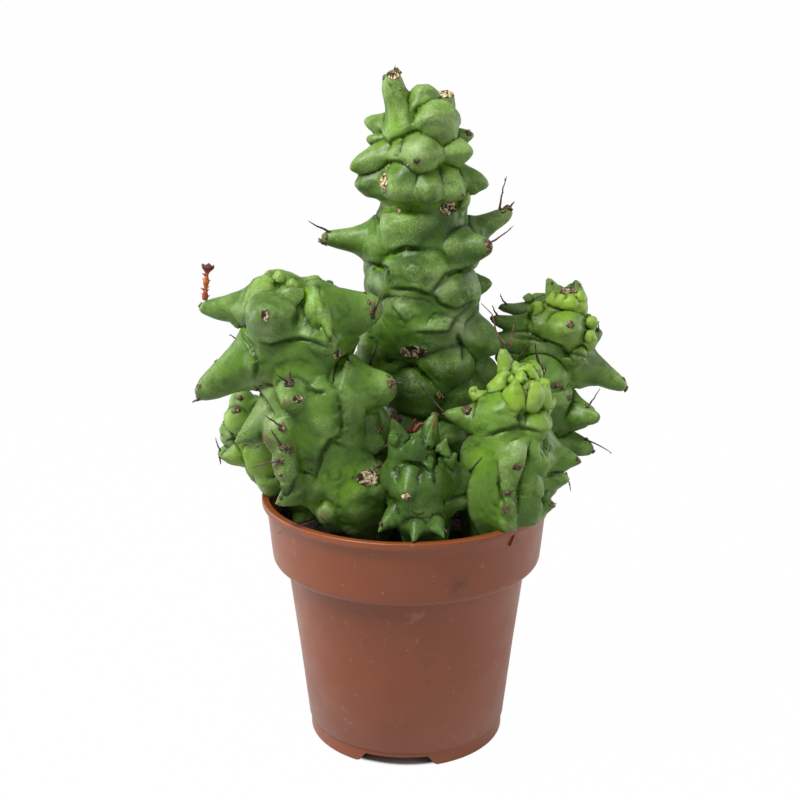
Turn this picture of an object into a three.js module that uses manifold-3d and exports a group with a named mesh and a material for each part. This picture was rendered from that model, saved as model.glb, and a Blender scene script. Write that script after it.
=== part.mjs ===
// A potted euphorbia: seven knobbly, toothed stems in a 12 cm nursery pot of brown plastic.
// Millimetres, +Z up. The view from the front looks along +Y, with +X to the right.
import * as THREE from 'three';
import { mergeVertices } from 'three/addons/utils/BufferGeometryUtils.js';
import Module from 'manifold-3d';

// Pot
const POT_HEIGHT = 105;
const RIM_RADIUS = 60;
const LIP_PROUD = 1.8;
const LIP_HEIGHT = 2.8;
const LIP_ROUND = 0.6;
const COLLAR_BOTTOM_HEIGHT = 77;
const COLLAR_BOTTOM_RADIUS = 56;
const COLLAR_ROUND = 3.2;
const BODY_TOP_RADIUS = 50;
const FOOT_RADIUS = 41.2;
const FOOT_STEP_HEIGHT = 6.5;
const FOOT_STEP_PROUD = 0.4;
const FOOT_WIDTH = 2.4;
const FLOOR_HEIGHT = 5.6;
const WALL = 1.2;
const LEDGE_ROUND = 3;
const POT_SIDES = 28;
const NOTCH_WIDTH = 30;
const NOTCH_HEIGHT = 4.6;
const NOTCH_BEARINGS = [30, 150, 270];
const DRAIN_COUNT = 6;
const DRAIN_RADIUS = 3.5;
const DRAIN_CIRCLE = 26;
const DRAIN_SIDES = 10;
const CUTTER_DEPTH = 20;

// Soil
const SOIL_HEIGHT = 93;
const SOIL_RELIEF = 1.6;
const SOIL_RINGS = [42];
const SOIL_TOP_HEIGHT = 95;
const HOLE_TOP_HEIGHT = 120;

// Clearances and the frame
const GAP = 0.3;
const ROOT_HEIGHT = 70;
const OUTLINE_MIDDLE = [5, 0];

// Faceting of the stems
const CORE_SIDES = 9;
const STOUT_GIRTH = 8.6;
const STOUT_SIDES = 6;
const SLIM_SIDES = 5;
const TOOTH_RINGS = [0.04, 0.55, 0.9];
const REAR_RINGS = [0.04, 0.76];
const FLARE_POWER = 4;
const BURIED_SHARE = 0.45;
const BURIED_GIRTH = 0.75;
const UPPER_SIDE = 0.9;
const CORE_SHARE = 0.9;
const LEAVES_FROM = 0.15;
const LEAVES_TO = 0.82;
const CORE_CAP = 0.3;

// Spines
const SPINE_ROOT_RADIUS = 0.75;
const SPINE_SINK = 2.5;
const SPINE_SEAT = 0.9;
const SPINE_SIDES = 3;
const SPINE_RISE = 0.14;
const SPINE_LEAN = 0.5;

// Rear teeth, which stray from their rule by a seeded draw: pairs are the least and the spread
const REAR_REACH = [0.65, 0.6];
const REAR_GIRTH = [0.85, 0.3];
const REAR_RISE = [-1.6, 4];
const REAR_HEIGHT = [-2.5, 5];
const REAR_BEARING = [-5, 10];
const REAR_PLACES = [0.25, 0.75];
const REAR_BOSS_REACH = 0.6;
const REAR_DROP = 1.8;
const TOOTH_SEED = 7919;
const SPINE_SEED = 104729;

// How a tooth narrows from its root to its tip: taper is how much it has lost at the tip, blunt
// how square its end is, flare how much wider it starts, flat its width over its height, sag how
// far its underside is drawn down the stem, and bend how late it rises or falls.
const HORN = { taper: 0.45, blunt: 12, flare: 1, flat: 1, sag: 0.3, bend: 1.5 };
const TOOTH = { taper: 0.52, blunt: 10, flare: 0.35, flat: 0.98, sag: 0.5, bend: 1.3 };
const FIN = { taper: 0.5, blunt: 9, flare: 0.3, flat: 0.55, sag: 0.5, bend: 1.2 };
const EDGE = { taper: 0.25, blunt: 9, flare: 0.2, flat: 0.4, sag: 0.3, bend: 1.2 };
const LEAF = { taper: 0.45, blunt: 3, flare: 0.2, flat: 0.5, sag: 0.2, bend: 1.4 };
const FINGER = { taper: 0.3, blunt: 12, flare: 0.5, flat: 1, sag: 0, bend: 1.8 };
const LOBE = { taper: 0.08, blunt: 2.4, flare: 0, flat: 1, sag: 0.1, bend: 1.4 };
const BUD = { taper: 0.42, blunt: 3.4, flare: 0.1, flat: 0.95, sag: 0.2, bend: 1.4 };
const BOSS = { taper: 0, blunt: 2, flare: 0.1, flat: 1.15, sag: 0.9, bend: 1 };

const REAR_FORMS = [TOOTH, BOSS, TOOTH, BUD];

// Each stem has an axis, rows of x, y, height and radius from the root up, and teeth, rows of
// height on the axis, bearing in degrees (0 right, 90 behind, 180 left, 270 in front), reach from
// the axis, rise, girth where it leaves the core, form and spine length. The rear rule fills
// the side that faces away: from and to are heights, and each storey holds count teeth
// spread over the arc, at the reach past the core.
const STEMS = [
  {
    name: 'stem_tall',
    colour: 0x6f9a55,
    axis: [
      [9, 11, 70, 9], [10, 12, 97, 13.5], [10, 12, 120, 17], [9.5, 12, 154, 20], [7.5, 10, 180, 21],
      [6, 8, 203, 20], [6, 7, 219, 18], [6, 7, 222.5, 16.8], [6, 6.5, 224.2, 13.8], [6, 6, 226, 16.4],
      [5.5, 5, 234, 15], [5, 4, 250, 13], [6, 4, 261, 9], [7, 4, 266, 4],
    ],
    teeth: [
      [247, 200, 12.5, 28, 6.8, FINGER, 0], [252.5, 165, 23, 3, 6, BUD, 0], [247, 180, 21, 2, 3.8, BUD, 0],
      [246, 194, 28.5, -8, 6, LOBE, 0], [235, 192, 26, -3, 7.6, TOOTH, 0], [246, 240, 17, -3, 6, LOBE, 0],
      [246, 271, 22.5, -3, 8.2, LOBE, 0], [245, 326, 24, 0, 7.2, BUD, 0], [252, 310, 17, 8, 9.4, LOBE, 0],
      [255, 280, 4, 13.4, 6.4, LOBE, 0], [255, 10, 12.4, 11.2, 5.4, LOBE, 0],
      [248, 0, 21, 2.5, 4.8, BUD, 0], [237, 354, 27, -6, 7, BUD, 0], [238, 279, 23, -9, 7.4, BUD, 0],
      [237, 243, 21.5, -5, 8.2, LOBE, 0], [238, 312, 24, -9, 7.4, BUD, 0], [228, 16, 20, -4, 5, LOBE, 0],
      [217, 240, 20.5, 1, 6.5, BOSS, 0], [209.7, 186, 40.4, 0.4, 5.9, HORN, 11],
      [206.3, 10, 37.2, 13.4, 5.8, HORN, 13], [208.6, 325, 33, 0, 7.3, TOOTH, 11],
      [199, 262, 23, 1, 10, BOSS, 0], [194, 207, 23.6, -1, 8.6, BOSS, 0],
      [190, 314, 25.5, 1, 10.4, BOSS, 0], [191, 2, 28, 0, 5.4, BUD, 0], [183, 250, 24.5, 1, 9.6, BOSS, 0],
      [177, 284, 25, 1, 7.6, BOSS, 0], [175, 210, 26.5, 0, 9, BOSS, 0], [180, 336, 33, -14, 9.6, LOBE, 0],
      [162, 294, 25, 0, 9, BOSS, 0], [152, 250, 26, 2, 9.4, TOOTH, 0], [157, 208, 26, 1, 8.4, BOSS, 0],
      [148, 316, 25, 0, 9, BOSS, 0], [157, 352, 28.5, -2, 7.2, BOSS, 0], [160, 186, 31, -2, 7.6, BOSS, 0],
      [134, 230, 26, -1, 9, TOOTH, 8], [130, 290, 23, 0, 8, BOSS, 0], [126, 345, 23, 0, 7, TOOTH, 7],
    ],
    rear: {
      from: 108, to: 212, step: 17.5, count: 3, arc: [40, 150],
      beyond: 11.5, girth: 9, spine: 9, seed: 11,
    },
    crown: {
      from: 231, to: 256, step: 12, count: 3, arc: [50, 150],
      beyond: 9, girth: 6.6, spine: 0, seed: 12,
    },
  },
  {
    name: 'stem_left_front',
    colour: 0x5f9446,
    axis: [
      [-19, -18, 70, 9], [-22, -20, 97, 14], [-24, -21, 110, 17.5], [-27, -22, 134, 18.5],
      [-34, -24, 152, 18.5], [-41, -25, 164, 17.5], [-45, -24, 176, 16.5], [-47, -22, 187, 14],
      [-47, -20, 195, 9.5], [-47, -20, 200, 4.5],
    ],
    teeth: [
      [188.9, 172, 34, -3.2, 7, TOOTH, 0], [188, 205, 12.6, 8.5, 8, LOBE, 0],
      [186, 285, 14, 11, 5.6, LOBE, 0], [193, 140, 5, 7, 4.8, LOBE, 0],
      [188.4, 342, 16, 4.2, 6.4, LOBE, 0], [190, 45, 18, 7, 4.6, BUD, 0],
      [187, 255, 24.5, 1, 8.6, BOSS, 0], [186, 314, 26, -9, 7.4, BUD, 0],
      [183.8, 356, 37.2, 4.6, 12.4, TOOTH, 9], [175.6, 186, 37, -22, 9.8, TOOTH, 0],
      [158, 257, 26, -5, 7.4, TOOTH, 9], [157, 348, 34, 1, 11, TOOTH, 10],
      [155, 212, 33, -14, 10.4, FIN, 0], [144, 328, 26, -6, 8.6, TOOTH, 0], [145, 227, 31, -3, 9, EDGE, 9],
      [135, 226, 32, -4, 9, EDGE, 9], [125, 226, 33, -7, 9, EDGE, 9], [122, 274, 25, 0, 14, BOSS, 0],
      [113, 246, 25, -2, 7, FIN, 10], [112, 322, 21, 0, 9, BOSS, 0],
    ],
    rear: {
      from: 107, to: 178, step: 17, count: 3, arc: [22, 150],
      beyond: 10.2, girth: 8.8, spine: 9, seed: 21,
    },
  },
  {
    name: 'stem_left_rear',
    colour: 0x7fa85c,
    axis: [
      [-40, 2, 70, 5], [-43, 2, 97, 6.6], [-47, 0, 107, 8], [-55, -2, 117, 8.6], [-61, -3, 127, 8],
      [-65, -3, 137, 7], [-67, -3, 145, 5.6], [-67, -3, 150, 3],
    ],
    teeth: [
      [129, 172, 13.6, 5, 5.6, FIN, 6], [126, 188, 17.2, -3, 4.5, FIN, 7], [142, 245, 9, -6, 4.8, LOBE, 0],
      [124, 280, 12, 2, 6, TOOTH, 0], [114, 240, 11.4, 0, 4.6, TOOTH, 7], [136, 330, 10, 2, 4.6, BUD, 0],
    ],
    rear: {
      from: 108, to: 140, step: 11, count: 2, arc: [30, 140],
      beyond: 7, girth: 5.6, spine: 7, seed: 31,
    },
  },
  {
    name: 'stem_front',
    colour: 0x63964c,
    axis: [
      [7, -34, 70, 6], [7, -38, 97, 8], [6, -40, 108, 9], [4, -40, 120, 9.6], [3, -39, 131, 9.4],
      [3, -38, 137, 7], [3, -38, 141, 3],
    ],
    teeth: [
      [132, 198, 10, 17, 5.4, LEAF, 0], [132, 15, 10, 17, 5.8, LEAF, 0], [134, 266, 9, 9, 3.8, LOBE, 0],
      [126, 205, 13, -1, 6, BOSS, 0], [126, 300, 12, 0, 5.6, BOSS, 0], [130, 258, 20, -7, 7.6, TOOTH, 0],
      [117, 222, 19, -9, 5, BUD, 0], [112, 259, 20, -6, 5.6, BUD, 0], [115, 302, 18, -7, 5.4, BUD, 0],
      [130, 4, 22, -3, 9, FIN, 0], [114, 6, 21, 1, 6.4, LEAF, 0],
    ],
    rear: {
      from: 106, to: 130, step: 12, count: 2, arc: [45, 150],
      beyond: 7, girth: 6, spine: 7, seed: 41,
    },
  },
  {
    name: 'stem_right_front',
    colour: 0x78a852,
    axis: [
      [29, -20, 70, 7], [34, -24, 97, 10.6], [37, -26, 108, 12], [39, -27, 122, 13.4],
      [40, -27, 134, 13.4], [42, -26, 144, 12], [44, -24, 153, 8], [45, -23, 161, 4.6],
      [45, -23, 165, 2],
    ],
    teeth: [
      [148, 182, 6, 23.5, 4.4, FINGER, 0], [150, 186, 19, 4, 3.4, BUD, 0],
      [150, 205, 10, 10, 5.2, LOBE, 0], [146, 262, 13, 14, 4.8, LOBE, 0], [147, 300, 12, 14, 5.2, LOBE, 0],
      [149, 340, 12, 11, 4.6, LOBE, 0], [149, 3, 14, 2, 4, BUD, 0], [157, 275, 5, 8, 3.6, LOBE, 0],
      [157, 20, 5, 8.5, 3.8, LOBE, 0], [144, 188, 28, 3, 5.8, TOOTH, 9], [146, 226, 20, 2, 9.4, BOSS, 0],
      [144, 312, 19, 1, 7, LOBE, 0], [137, 270, 21.5, -8, 11, TOOTH, 7],
      [132.6, 350, 28.4, -4, 7.8, TOOTH, 9], [131, 206, 18, 1, 7.6, BOSS, 8],
      [118, 268, 24.5, -3, 8, FIN, 8], [123, 345, 23.6, -1.4, 6.8, FIN, 0], [113, 326, 21, 0, 6.4, FIN, 0],
      [110, 270, 23, -4, 5.4, FIN, 0], [114, 206, 15, 0, 7.4, BOSS, 7],
    ],
    rear: {
      from: 107, to: 145, step: 13, count: 2, arc: [42, 140],
      beyond: 9, girth: 7.6, spine: 8, seed: 51,
    },
  },
  {
    name: 'stem_right_rear',
    colour: 0x6b9f4e,
    axis: [
      [36, 14, 70, 6], [41, 16, 97, 9], [48, 17, 112, 11], [55, 17, 132, 12], [58.5, 17, 148, 13],
      [62, 18, 163, 12.6], [65, 19, 174, 11], [66, 20, 182, 7], [66, 20, 186, 3],
    ],
    teeth: [
      [178, 212, 9, 14, 5, LEAF, 0], [178, 10, 5.6, 12, 4.6, LEAF, 0], [177, 248, 11, 8, 4.2, LOBE, 0],
      [176, 290, 11, 8, 5.6, LOBE, 0], [178, 120, 8, 9, 4.4, BUD, 0], [176, 168, 27, 2, 3.8, HORN, 6],
      [171, 196, 31, 5, 4.6, HORN, 6], [177, 140, 16, 5, 4.4, BUD, 0], [173, 226, 18, 2, 7, TOOTH, 0],
      [172, 270, 21.5, 2, 7, BOSS, 0], [166, 318, 18, 2, 4.8, LOBE, 0], [171, 342, 13.4, 3, 4.6, LOBE, 0],
      [163.4, 12, 20.2, 4.4, 6.2, TOOTH, 6], [162, 298, 19.5, -1, 4.4, BUD, 0],
      [161.2, 350, 31, -15.4, 7.1, TOOTH, 0], [154, 244, 19.5, -2, 8.6, BOSS, 10],
      [166, 200, 31, 2, 4.8, HORN, 0], [145, 280, 18, -2, 7, BOSS, 7], [142, 330, 24.4, -5, 5.4, TOOTH, 9],
      [136, 318, 31, 2, 6, FIN, 0], [127, 334, 27.6, -6, 7, FIN, 11], [124, 262, 17, 0, 7.4, BOSS, 0],
    ],
    rear: {
      from: 108, to: 164, step: 14, count: 2, arc: [35, 142],
      beyond: 9, girth: 7.6, spine: 8, seed: 61,
    },
  },
  {
    name: 'stem_rear',
    colour: 0x557f43,
    axis: [
      [24, 33, 70, 5], [28, 38, 97, 6.2], [30, 40, 112, 7.6], [31, 41, 130, 7.6], [31, 41, 142, 5],
      [31, 41, 147, 2.4],
    ],
    teeth: [
      [138, 215, 9, 8, 3.8, BUD, 0], [138, 330, 10, 9, 3.8, BUD, 0], [130, 280, 12, 3, 5.4, TOOTH, 0],
      [117, 294, 11, 2, 4.5, TOOTH, 6],
    ],
    rear: {
      from: 106, to: 134, step: 12, count: 2, arc: [20, 160],
      beyond: 7.4, girth: 5.6, spine: 7, seed: 71,
    },
  },
];

// Dried flower stalk that stands on the tip of the left front stem's top tooth
const STALK = {
  stem: 1, foot: [-77.2, -17.9], seat: 188.2, sunk: 1.8, height: 13.2, radius: 1, cup: 2.6,
  lean: [0.6, 0], sides: 8,
};

const wasm = await Module();
wasm.setup();

const radians = THREE.MathUtils.degToRad;

function solidOf(geometry) {
  const bare = geometry.clone();
  bare.deleteAttribute('normal');
  bare.deleteAttribute('uv');
  const welded = mergeVertices(bare, 1e-4);
  return new wasm.Manifold(
    new wasm.Mesh({
      numProp: 3,
      vertProperties: new Float32Array(welded.attributes.position.array),
      triVerts: new Uint32Array(welded.index.array),
    }),
  );
}

function geometryOf(solid) {
  const mesh = solid.getMesh();
  const geometry = new THREE.BufferGeometry();
  geometry.setAttribute('position', new THREE.BufferAttribute(mesh.vertProperties, 3));
  geometry.setIndex(new THREE.BufferAttribute(mesh.triVerts, 1));
  geometry.computeVertexNormals();
  return geometry;
}

// A turned shape round +Z, from rows of radius and height.
function turned(rows, sides) {
  const profile = rows.map(([radius, height]) => new THREE.Vector2(radius, height));
  return new THREE.LatheGeometry(profile, sides).rotateX(Math.PI / 2);
}

// Moves each vertex by a rule that gets and changes its place.
function reshape(geometry, rule) {
  const places = geometry.attributes.position;
  const place = new THREE.Vector3();
  for (let i = 0; i < places.count; i += 1) {
    place.fromBufferAttribute(places, i);
    rule(place);
    places.setXYZ(i, place.x, place.y, place.z);
  }
  return geometry;
}

// Pot

function innerRadius(height) {
  if (height < COLLAR_BOTTOM_HEIGHT) {
    const share = height / COLLAR_BOTTOM_HEIGHT;
    return FOOT_RADIUS + (BODY_TOP_RADIUS - FOOT_RADIUS) * share - WALL;
  }
  const share = (height - COLLAR_BOTTOM_HEIGHT) / (POT_HEIGHT - COLLAR_BOTTOM_HEIGHT);
  return COLLAR_BOTTOM_RADIUS + (RIM_RADIUS - LIP_PROUD - COLLAR_BOTTOM_RADIUS) * share - WALL;
}

function potSolid() {
  const floor = FLOOR_HEIGHT + WALL;
  const ledge = COLLAR_BOTTOM_HEIGHT;
  const lipFoot = POT_HEIGHT - LIP_HEIGHT;
  const mouth = innerRadius(POT_HEIGHT);
  const footWidth = FOOT_RADIUS - FOOT_WIDTH;
  const shell = solidOf(
    turned(
      [
        // Down the inside
        [0, floor], [innerRadius(floor), floor], [innerRadius(ledge - 1), ledge],
        [innerRadius(ledge) - 1, ledge + WALL], [innerRadius(ledge + LEDGE_ROUND), ledge + LEDGE_ROUND],
        [mouth, POT_HEIGHT - LIP_ROUND], [mouth + LIP_ROUND, POT_HEIGHT],
        // Over the lip and down the outside
        [RIM_RADIUS - LIP_ROUND, POT_HEIGHT], [RIM_RADIUS, POT_HEIGHT - LIP_ROUND],
        [RIM_RADIUS, lipFoot + LIP_ROUND], [RIM_RADIUS - LIP_PROUD, lipFoot],
        [COLLAR_BOTTOM_RADIUS, ledge + COLLAR_ROUND],
        [COLLAR_BOTTOM_RADIUS - COLLAR_ROUND * 0.3, ledge + COLLAR_ROUND * 0.3],
        [COLLAR_BOTTOM_RADIUS - COLLAR_ROUND, ledge], [BODY_TOP_RADIUS, ledge - 1],
        [FOOT_RADIUS + FOOT_STEP_PROUD * 1.8, FOOT_STEP_HEIGHT + FOOT_STEP_PROUD],
        [FOOT_RADIUS, FOOT_STEP_HEIGHT], [FOOT_RADIUS, LIP_ROUND], [FOOT_RADIUS - LIP_ROUND, 0],
        // Under the foot and the raised floor
        [footWidth, 0], [footWidth, FLOOR_HEIGHT], [0, FLOOR_HEIGHT],
      ].reverse(),
      POT_SIDES,
    ),
  );
  const cuts = NOTCH_BEARINGS.map((bearing) => {
    const notch = new THREE.BoxGeometry(NOTCH_WIDTH, CUTTER_DEPTH, NOTCH_HEIGHT * 2);
    notch.translate(0, FOOT_RADIUS, 0).rotateZ(radians(bearing - 90));
    return solidOf(notch);
  });
  for (let i = 0; i < DRAIN_COUNT; i += 1) {
    const hole = new THREE.CylinderGeometry(DRAIN_RADIUS, DRAIN_RADIUS, CUTTER_DEPTH / 2, DRAIN_SIDES);
    hole.rotateX(Math.PI / 2);
    hole.translate(DRAIN_CIRCLE, 0, FLOOR_HEIGHT).rotateZ((i * 2 * Math.PI) / DRAIN_COUNT);
    cuts.push(solidOf(hole));
  }
  return cuts.reduce((pot, cut) => pot.subtract(cut), shell);
}

// Stems

// The stem's axis and core radius at a height.
function axisAt(axis, height) {
  const last = axis.length - 1;
  let row = 0;
  while (row < last - 1 && height > axis[row + 1][2]) row += 1;
  const [low, high] = [axis[row], axis[row + 1]];
  const share = THREE.MathUtils.clamp((height - low[2]) / (high[2] - low[2]), 0, 1);
  const [x, y, , radius] = low.map((value, i) => value + (high[i] - value) * share);
  return { x, y, radius };
}

// The bare core, a turned shape that follows the axis, up to a height and grown by a clearance.
function coreGeometry(axis, upTo, clearance) {
  const rows = axis.filter((row) => row[2] <= upTo);
  const foot = rows[0][2] - clearance;
  const head = rows[rows.length - 1];
  const profile = [[0, foot], [rows[0][3] + clearance, foot]];
  rows.slice(1).forEach(([, , height, radius]) => profile.push([radius + clearance, height]));
  profile.push([0, head[2] + head[3] * CORE_CAP]);
  return reshape(turned(profile, CORE_SIDES), (place) => {
    const { x, y } = axisAt(axis, place.z);
    place.x += x;
    place.y += y;
  });
}

// The curve that a tooth follows, from the stem's axis to its tip, and its cross directions.
function toothLine(axis, [height, bearing, reach, rise, , form]) {
  const core = axisAt(axis, height);
  const outward = new THREE.Vector3(Math.cos(radians(bearing)), Math.sin(radians(bearing)), 0);
  const at = (share) => new THREE.Vector3(core.x, core.y, height + rise * share ** form.bend)
    .addScaledVector(outward, reach * share);
  const along = at(1).sub(at(0)).normalize();
  const side = new THREE.Vector3(-outward.y, outward.x, 0);
  return { at, along, side, up: along.clone().cross(side), emerges: leaves(core.radius, reach, rise) };
}

// The share of a tooth's length at which it leaves the core.
function leaves(coreRadius, reach, rise) {
  return THREE.MathUtils.clamp((coreRadius * CORE_SHARE) / Math.hypot(reach, rise), LEAVES_FROM, LEAVES_TO);
}

function toothGeometry(axis, tooth, rings) {
  const [girth, form] = [tooth[4], tooth[5]];
  const { at, side, up, emerges } = toothLine(axis, tooth);
  const buried = emerges * BURIED_SHARE;
  const profile = [[0, buried], [girth * BURIED_GIRTH, buried]];
  rings.forEach((share) => {
    const body = (1 - form.taper * share) * Math.sqrt(1 - share ** form.blunt);
    const radius = girth * (body + form.flare * (1 - share) ** FLARE_POWER);
    profile.push([radius, emerges + (1 - emerges) * share]);
  });
  profile.push([0, 1]);
  const sides = girth < STOUT_GIRTH ? SLIM_SIDES : STOUT_SIDES;
  const rows = profile.map(([radius, share]) => new THREE.Vector2(radius, share));
  return reshape(new THREE.LatheGeometry(rows, sides), (place) => {
    const share = place.y;
    const past = Math.max(0, (share - emerges) / (1 - emerges));
    const depth = place.z < 0 ? 1 + form.sag * (1 - past) : UPPER_SIDE;
    const [across, above] = [-place.x * form.flat, place.z * depth];
    place.copy(at(share)).addScaledVector(side, across).addScaledVector(up, above);
  });
}

// A spine stands on the upper side of a tooth's tip and leans outwards and up.
function spineGeometry(axis, tooth, draw) {
  const [girth, , length] = tooth.slice(4);
  const { at, along, side, up } = toothLine(axis, tooth);
  const lean = along.clone().addScaledVector(up, SPINE_LEAN * (1 + draw()));
  lean.addScaledVector(side, draw() - 0.5).normalize();
  const spine = new THREE.ConeGeometry(SPINE_ROOT_RADIUS, length + SPINE_SINK, SPINE_SIDES);
  spine.translate(0, (length - SPINE_SINK) / 2, 0);
  spine.applyQuaternion(new THREE.Quaternion().setFromUnitVectors(new THREE.Vector3(0, 1, 0), lean));
  const seat = at(SPINE_SEAT).addScaledVector(up, girth * SPINE_RISE);
  return spine.translate(seat.x, seat.y, seat.z);
}

// A seeded draw of numbers from 0 to 1.
function drawFrom(seed) {
  let state = seed;
  return () => {
    state = (state * 16807) % 2147483647;
    return state / 2147483647;
  };
}

// The teeth of the side that faces away, in storeys whose bearings step by half a place.
function rearTeeth(axis, rule) {
  const draw = drawFrom(rule.seed * TOOTH_SEED);
  const within = ([least, spread]) => least + spread * draw();
  const [first, last] = rule.arc;
  const pitch = (last - first) / rule.count;
  const teeth = [];
  let storey = 0;
  for (let height = rule.from; height <= rule.to; height += rule.step) {
    for (let i = 0; i < rule.count; i += 1) {
      const bearing = first + pitch * (i + REAR_PLACES[storey % 2]) + within(REAR_BEARING);
      const past = rule.beyond * within(REAR_REACH);
      const rise = within(REAR_RISE);
      const form = REAR_FORMS[Math.floor(draw() * REAR_FORMS.length)];
      const seat = height + within(REAR_HEIGHT);
      const girth = Math.min(rule.girth * within(REAR_GIRTH), (seat - SOIL_TOP_HEIGHT) / REAR_DROP);
      const [beyond, spine] = form === BOSS ? [past * REAR_BOSS_REACH, 0] : [past, rule.spine];
      teeth.push([seat, bearing, axisAt(axis, height).radius + beyond, rise, girth, form, spine]);
    }
    storey += 1;
  }
  return teeth;
}

// The room that the pot's wall and rim take, with a clearance, which the stems keep out of.
function potRoom() {
  const [low, top] = [ROOT_HEIGHT / 2, POT_HEIGHT + GAP];
  const ledge = COLLAR_BOTTOM_HEIGHT;
  const step = ledge + LEDGE_ROUND;
  const beyond = RIM_RADIUS * 2;
  return solidOf(
    turned(
      [
        [beyond, low], [beyond, top], [innerRadius(POT_HEIGHT) - GAP, top],
        [innerRadius(step) - GAP, step + GAP], [innerRadius(ledge - 1) - GAP, step + GAP],
        [innerRadius(low) - GAP, low], [beyond, low],
      ],
      POT_SIDES,
    ),
  );
}

function stemSolid(stem) {
  const { axis, teeth, rear, crown } = stem;
  const draw = drawFrom(rear.seed * SPINE_SEED);
  const hidden = [rear, crown].filter(Boolean).flatMap((rule) => rearTeeth(axis, rule));
  const spiny = [...teeth, ...hidden].filter((tooth) => tooth[6] > 0);
  const pieces = [
    coreGeometry(axis, Infinity, 0),
    ...teeth.map((tooth) => toothGeometry(axis, tooth, TOOTH_RINGS)),
    ...hidden.map((tooth) => toothGeometry(axis, tooth, REAR_RINGS)),
    ...spiny.map((tooth) => spineGeometry(axis, tooth, draw)),
  ];
  return pieces.map(solidOf).reduce((grown, piece) => grown.add(piece)).subtract(potRoom());
}

// Soil

function soilRelief(x, y) {
  const waves = Math.sin(x * 0.21 + 1.3) * Math.cos(y * 0.17 - 0.4) + 0.6 * Math.sin(x * 0.43 - y * 0.38);
  return SOIL_RELIEF * 0.6 * waves;
}

function soilSolid() {
  const floor = FLOOR_HEIGHT + WALL + GAP;
  const ledge = COLLAR_BOTTOM_HEIGHT;
  const edge = innerRadius(SOIL_HEIGHT) - GAP;
  const body = turned(
    [
      [0, floor], [innerRadius(floor) - GAP, floor], [innerRadius(ledge - 1) - GAP, ledge],
      [innerRadius(ledge - 1) - GAP, ledge + WALL + GAP], [innerRadius(ledge) - 1 - GAP, ledge + WALL + GAP],
      [innerRadius(ledge + LEDGE_ROUND) - GAP, ledge + LEDGE_ROUND + GAP], [edge, SOIL_HEIGHT - 1],
      ...SOIL_RINGS.map((radius) => [radius, SOIL_HEIGHT]),
      [0, SOIL_HEIGHT],
    ],
    POT_SIDES,
  );
  reshape(body, (place) => {
    if (place.z >= SOIL_HEIGHT - 0.5) place.z += soilRelief(place.x, place.y);
  });
  const holes = STEMS.map((stem) => solidOf(coreGeometry(stem.axis, HOLE_TOP_HEIGHT, GAP)));
  return holes.reduce((soil, hole) => soil.subtract(hole), solidOf(body));
}

// Flower stalk

function stalkSolid(carrier) {
  const { foot, seat, sunk, height, radius, cup, lean } = STALK;
  const rows = [
    [0, -sunk], [radius * 1.3, -sunk], [radius, height * 0.3], [radius * 1.25, height * 0.6],
    [radius * 1.2, height * 0.8], [cup, height], [cup * 0.7, height + 0.5], [0, height - 1],
  ];
  const stalk = reshape(turned(rows, STALK.sides), (place) => {
    const share = place.z / height;
    place.set(foot[0] + place.x + lean[0] * share, foot[1] + place.y + lean[1] * share, seat + place.z);
  });
  return solidOf(stalk).subtract(carrier.translate([0, 0, GAP]));
}

// Assembly

function pieceOf(name, solid, colour, roughness) {
  const material = new THREE.MeshStandardMaterial({ color: colour, roughness, metalness: 0 });
  const mesh = new THREE.Mesh(geometryOf(solid), material);
  mesh.name = name;
  return mesh;
}

const plant = new THREE.Group();
plant.add(pieceOf('pot', potSolid(), 0x824e37, 0.45));
plant.add(pieceOf('soil', soilSolid(), 0x1d1613, 0.95));
const stems = STEMS.map(stemSolid);
STEMS.forEach((stem, i) => plant.add(pieceOf(stem.name, stems[i], stem.colour, 0.5)));
plant.add(pieceOf('flower_stalk', stalkSolid(stems[STALK.stem]), 0xb5653a, 0.8));

// The pot stands left of the middle of the whole outline, which is the frame's origin.
plant.position.set(-OUTLINE_MIDDLE[0], -OUTLINE_MIDDLE[1], 0);

const model = new THREE.Group();
model.add(plant);
export default model;
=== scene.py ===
"""A potted euphorbia: seven knobbly, toothed stems in a brown nursery pot."""

import math
from collections import namedtuple

import bmesh
import bpy
import numpy as np
from bpy.props import (
    FloatProperty,
    FloatVectorProperty,
    IntProperty,
    PointerProperty,
)
from mathutils import Matrix, Vector
from mathutils.bvhtree import BVHTree
from mathutils.kdtree import KDTree


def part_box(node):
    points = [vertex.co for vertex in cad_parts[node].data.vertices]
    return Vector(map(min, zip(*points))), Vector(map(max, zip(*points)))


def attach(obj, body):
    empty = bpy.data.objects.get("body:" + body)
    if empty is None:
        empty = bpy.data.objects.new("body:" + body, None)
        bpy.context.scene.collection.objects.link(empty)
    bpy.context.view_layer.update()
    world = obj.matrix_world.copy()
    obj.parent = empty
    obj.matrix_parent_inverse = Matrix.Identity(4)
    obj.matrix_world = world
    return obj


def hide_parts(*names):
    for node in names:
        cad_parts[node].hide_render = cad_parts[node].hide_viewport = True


bl_info = {
    "name": "Potted Euphorbia",
    "version": (1, 0, 0),
    "blender": (4, 5, 0),
    "location": "View3D > Sidebar > Euphorbia",
    "description": "Builds a potted euphorbia piece by piece round its packed frame",
    "category": "Add Mesh",
}

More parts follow.
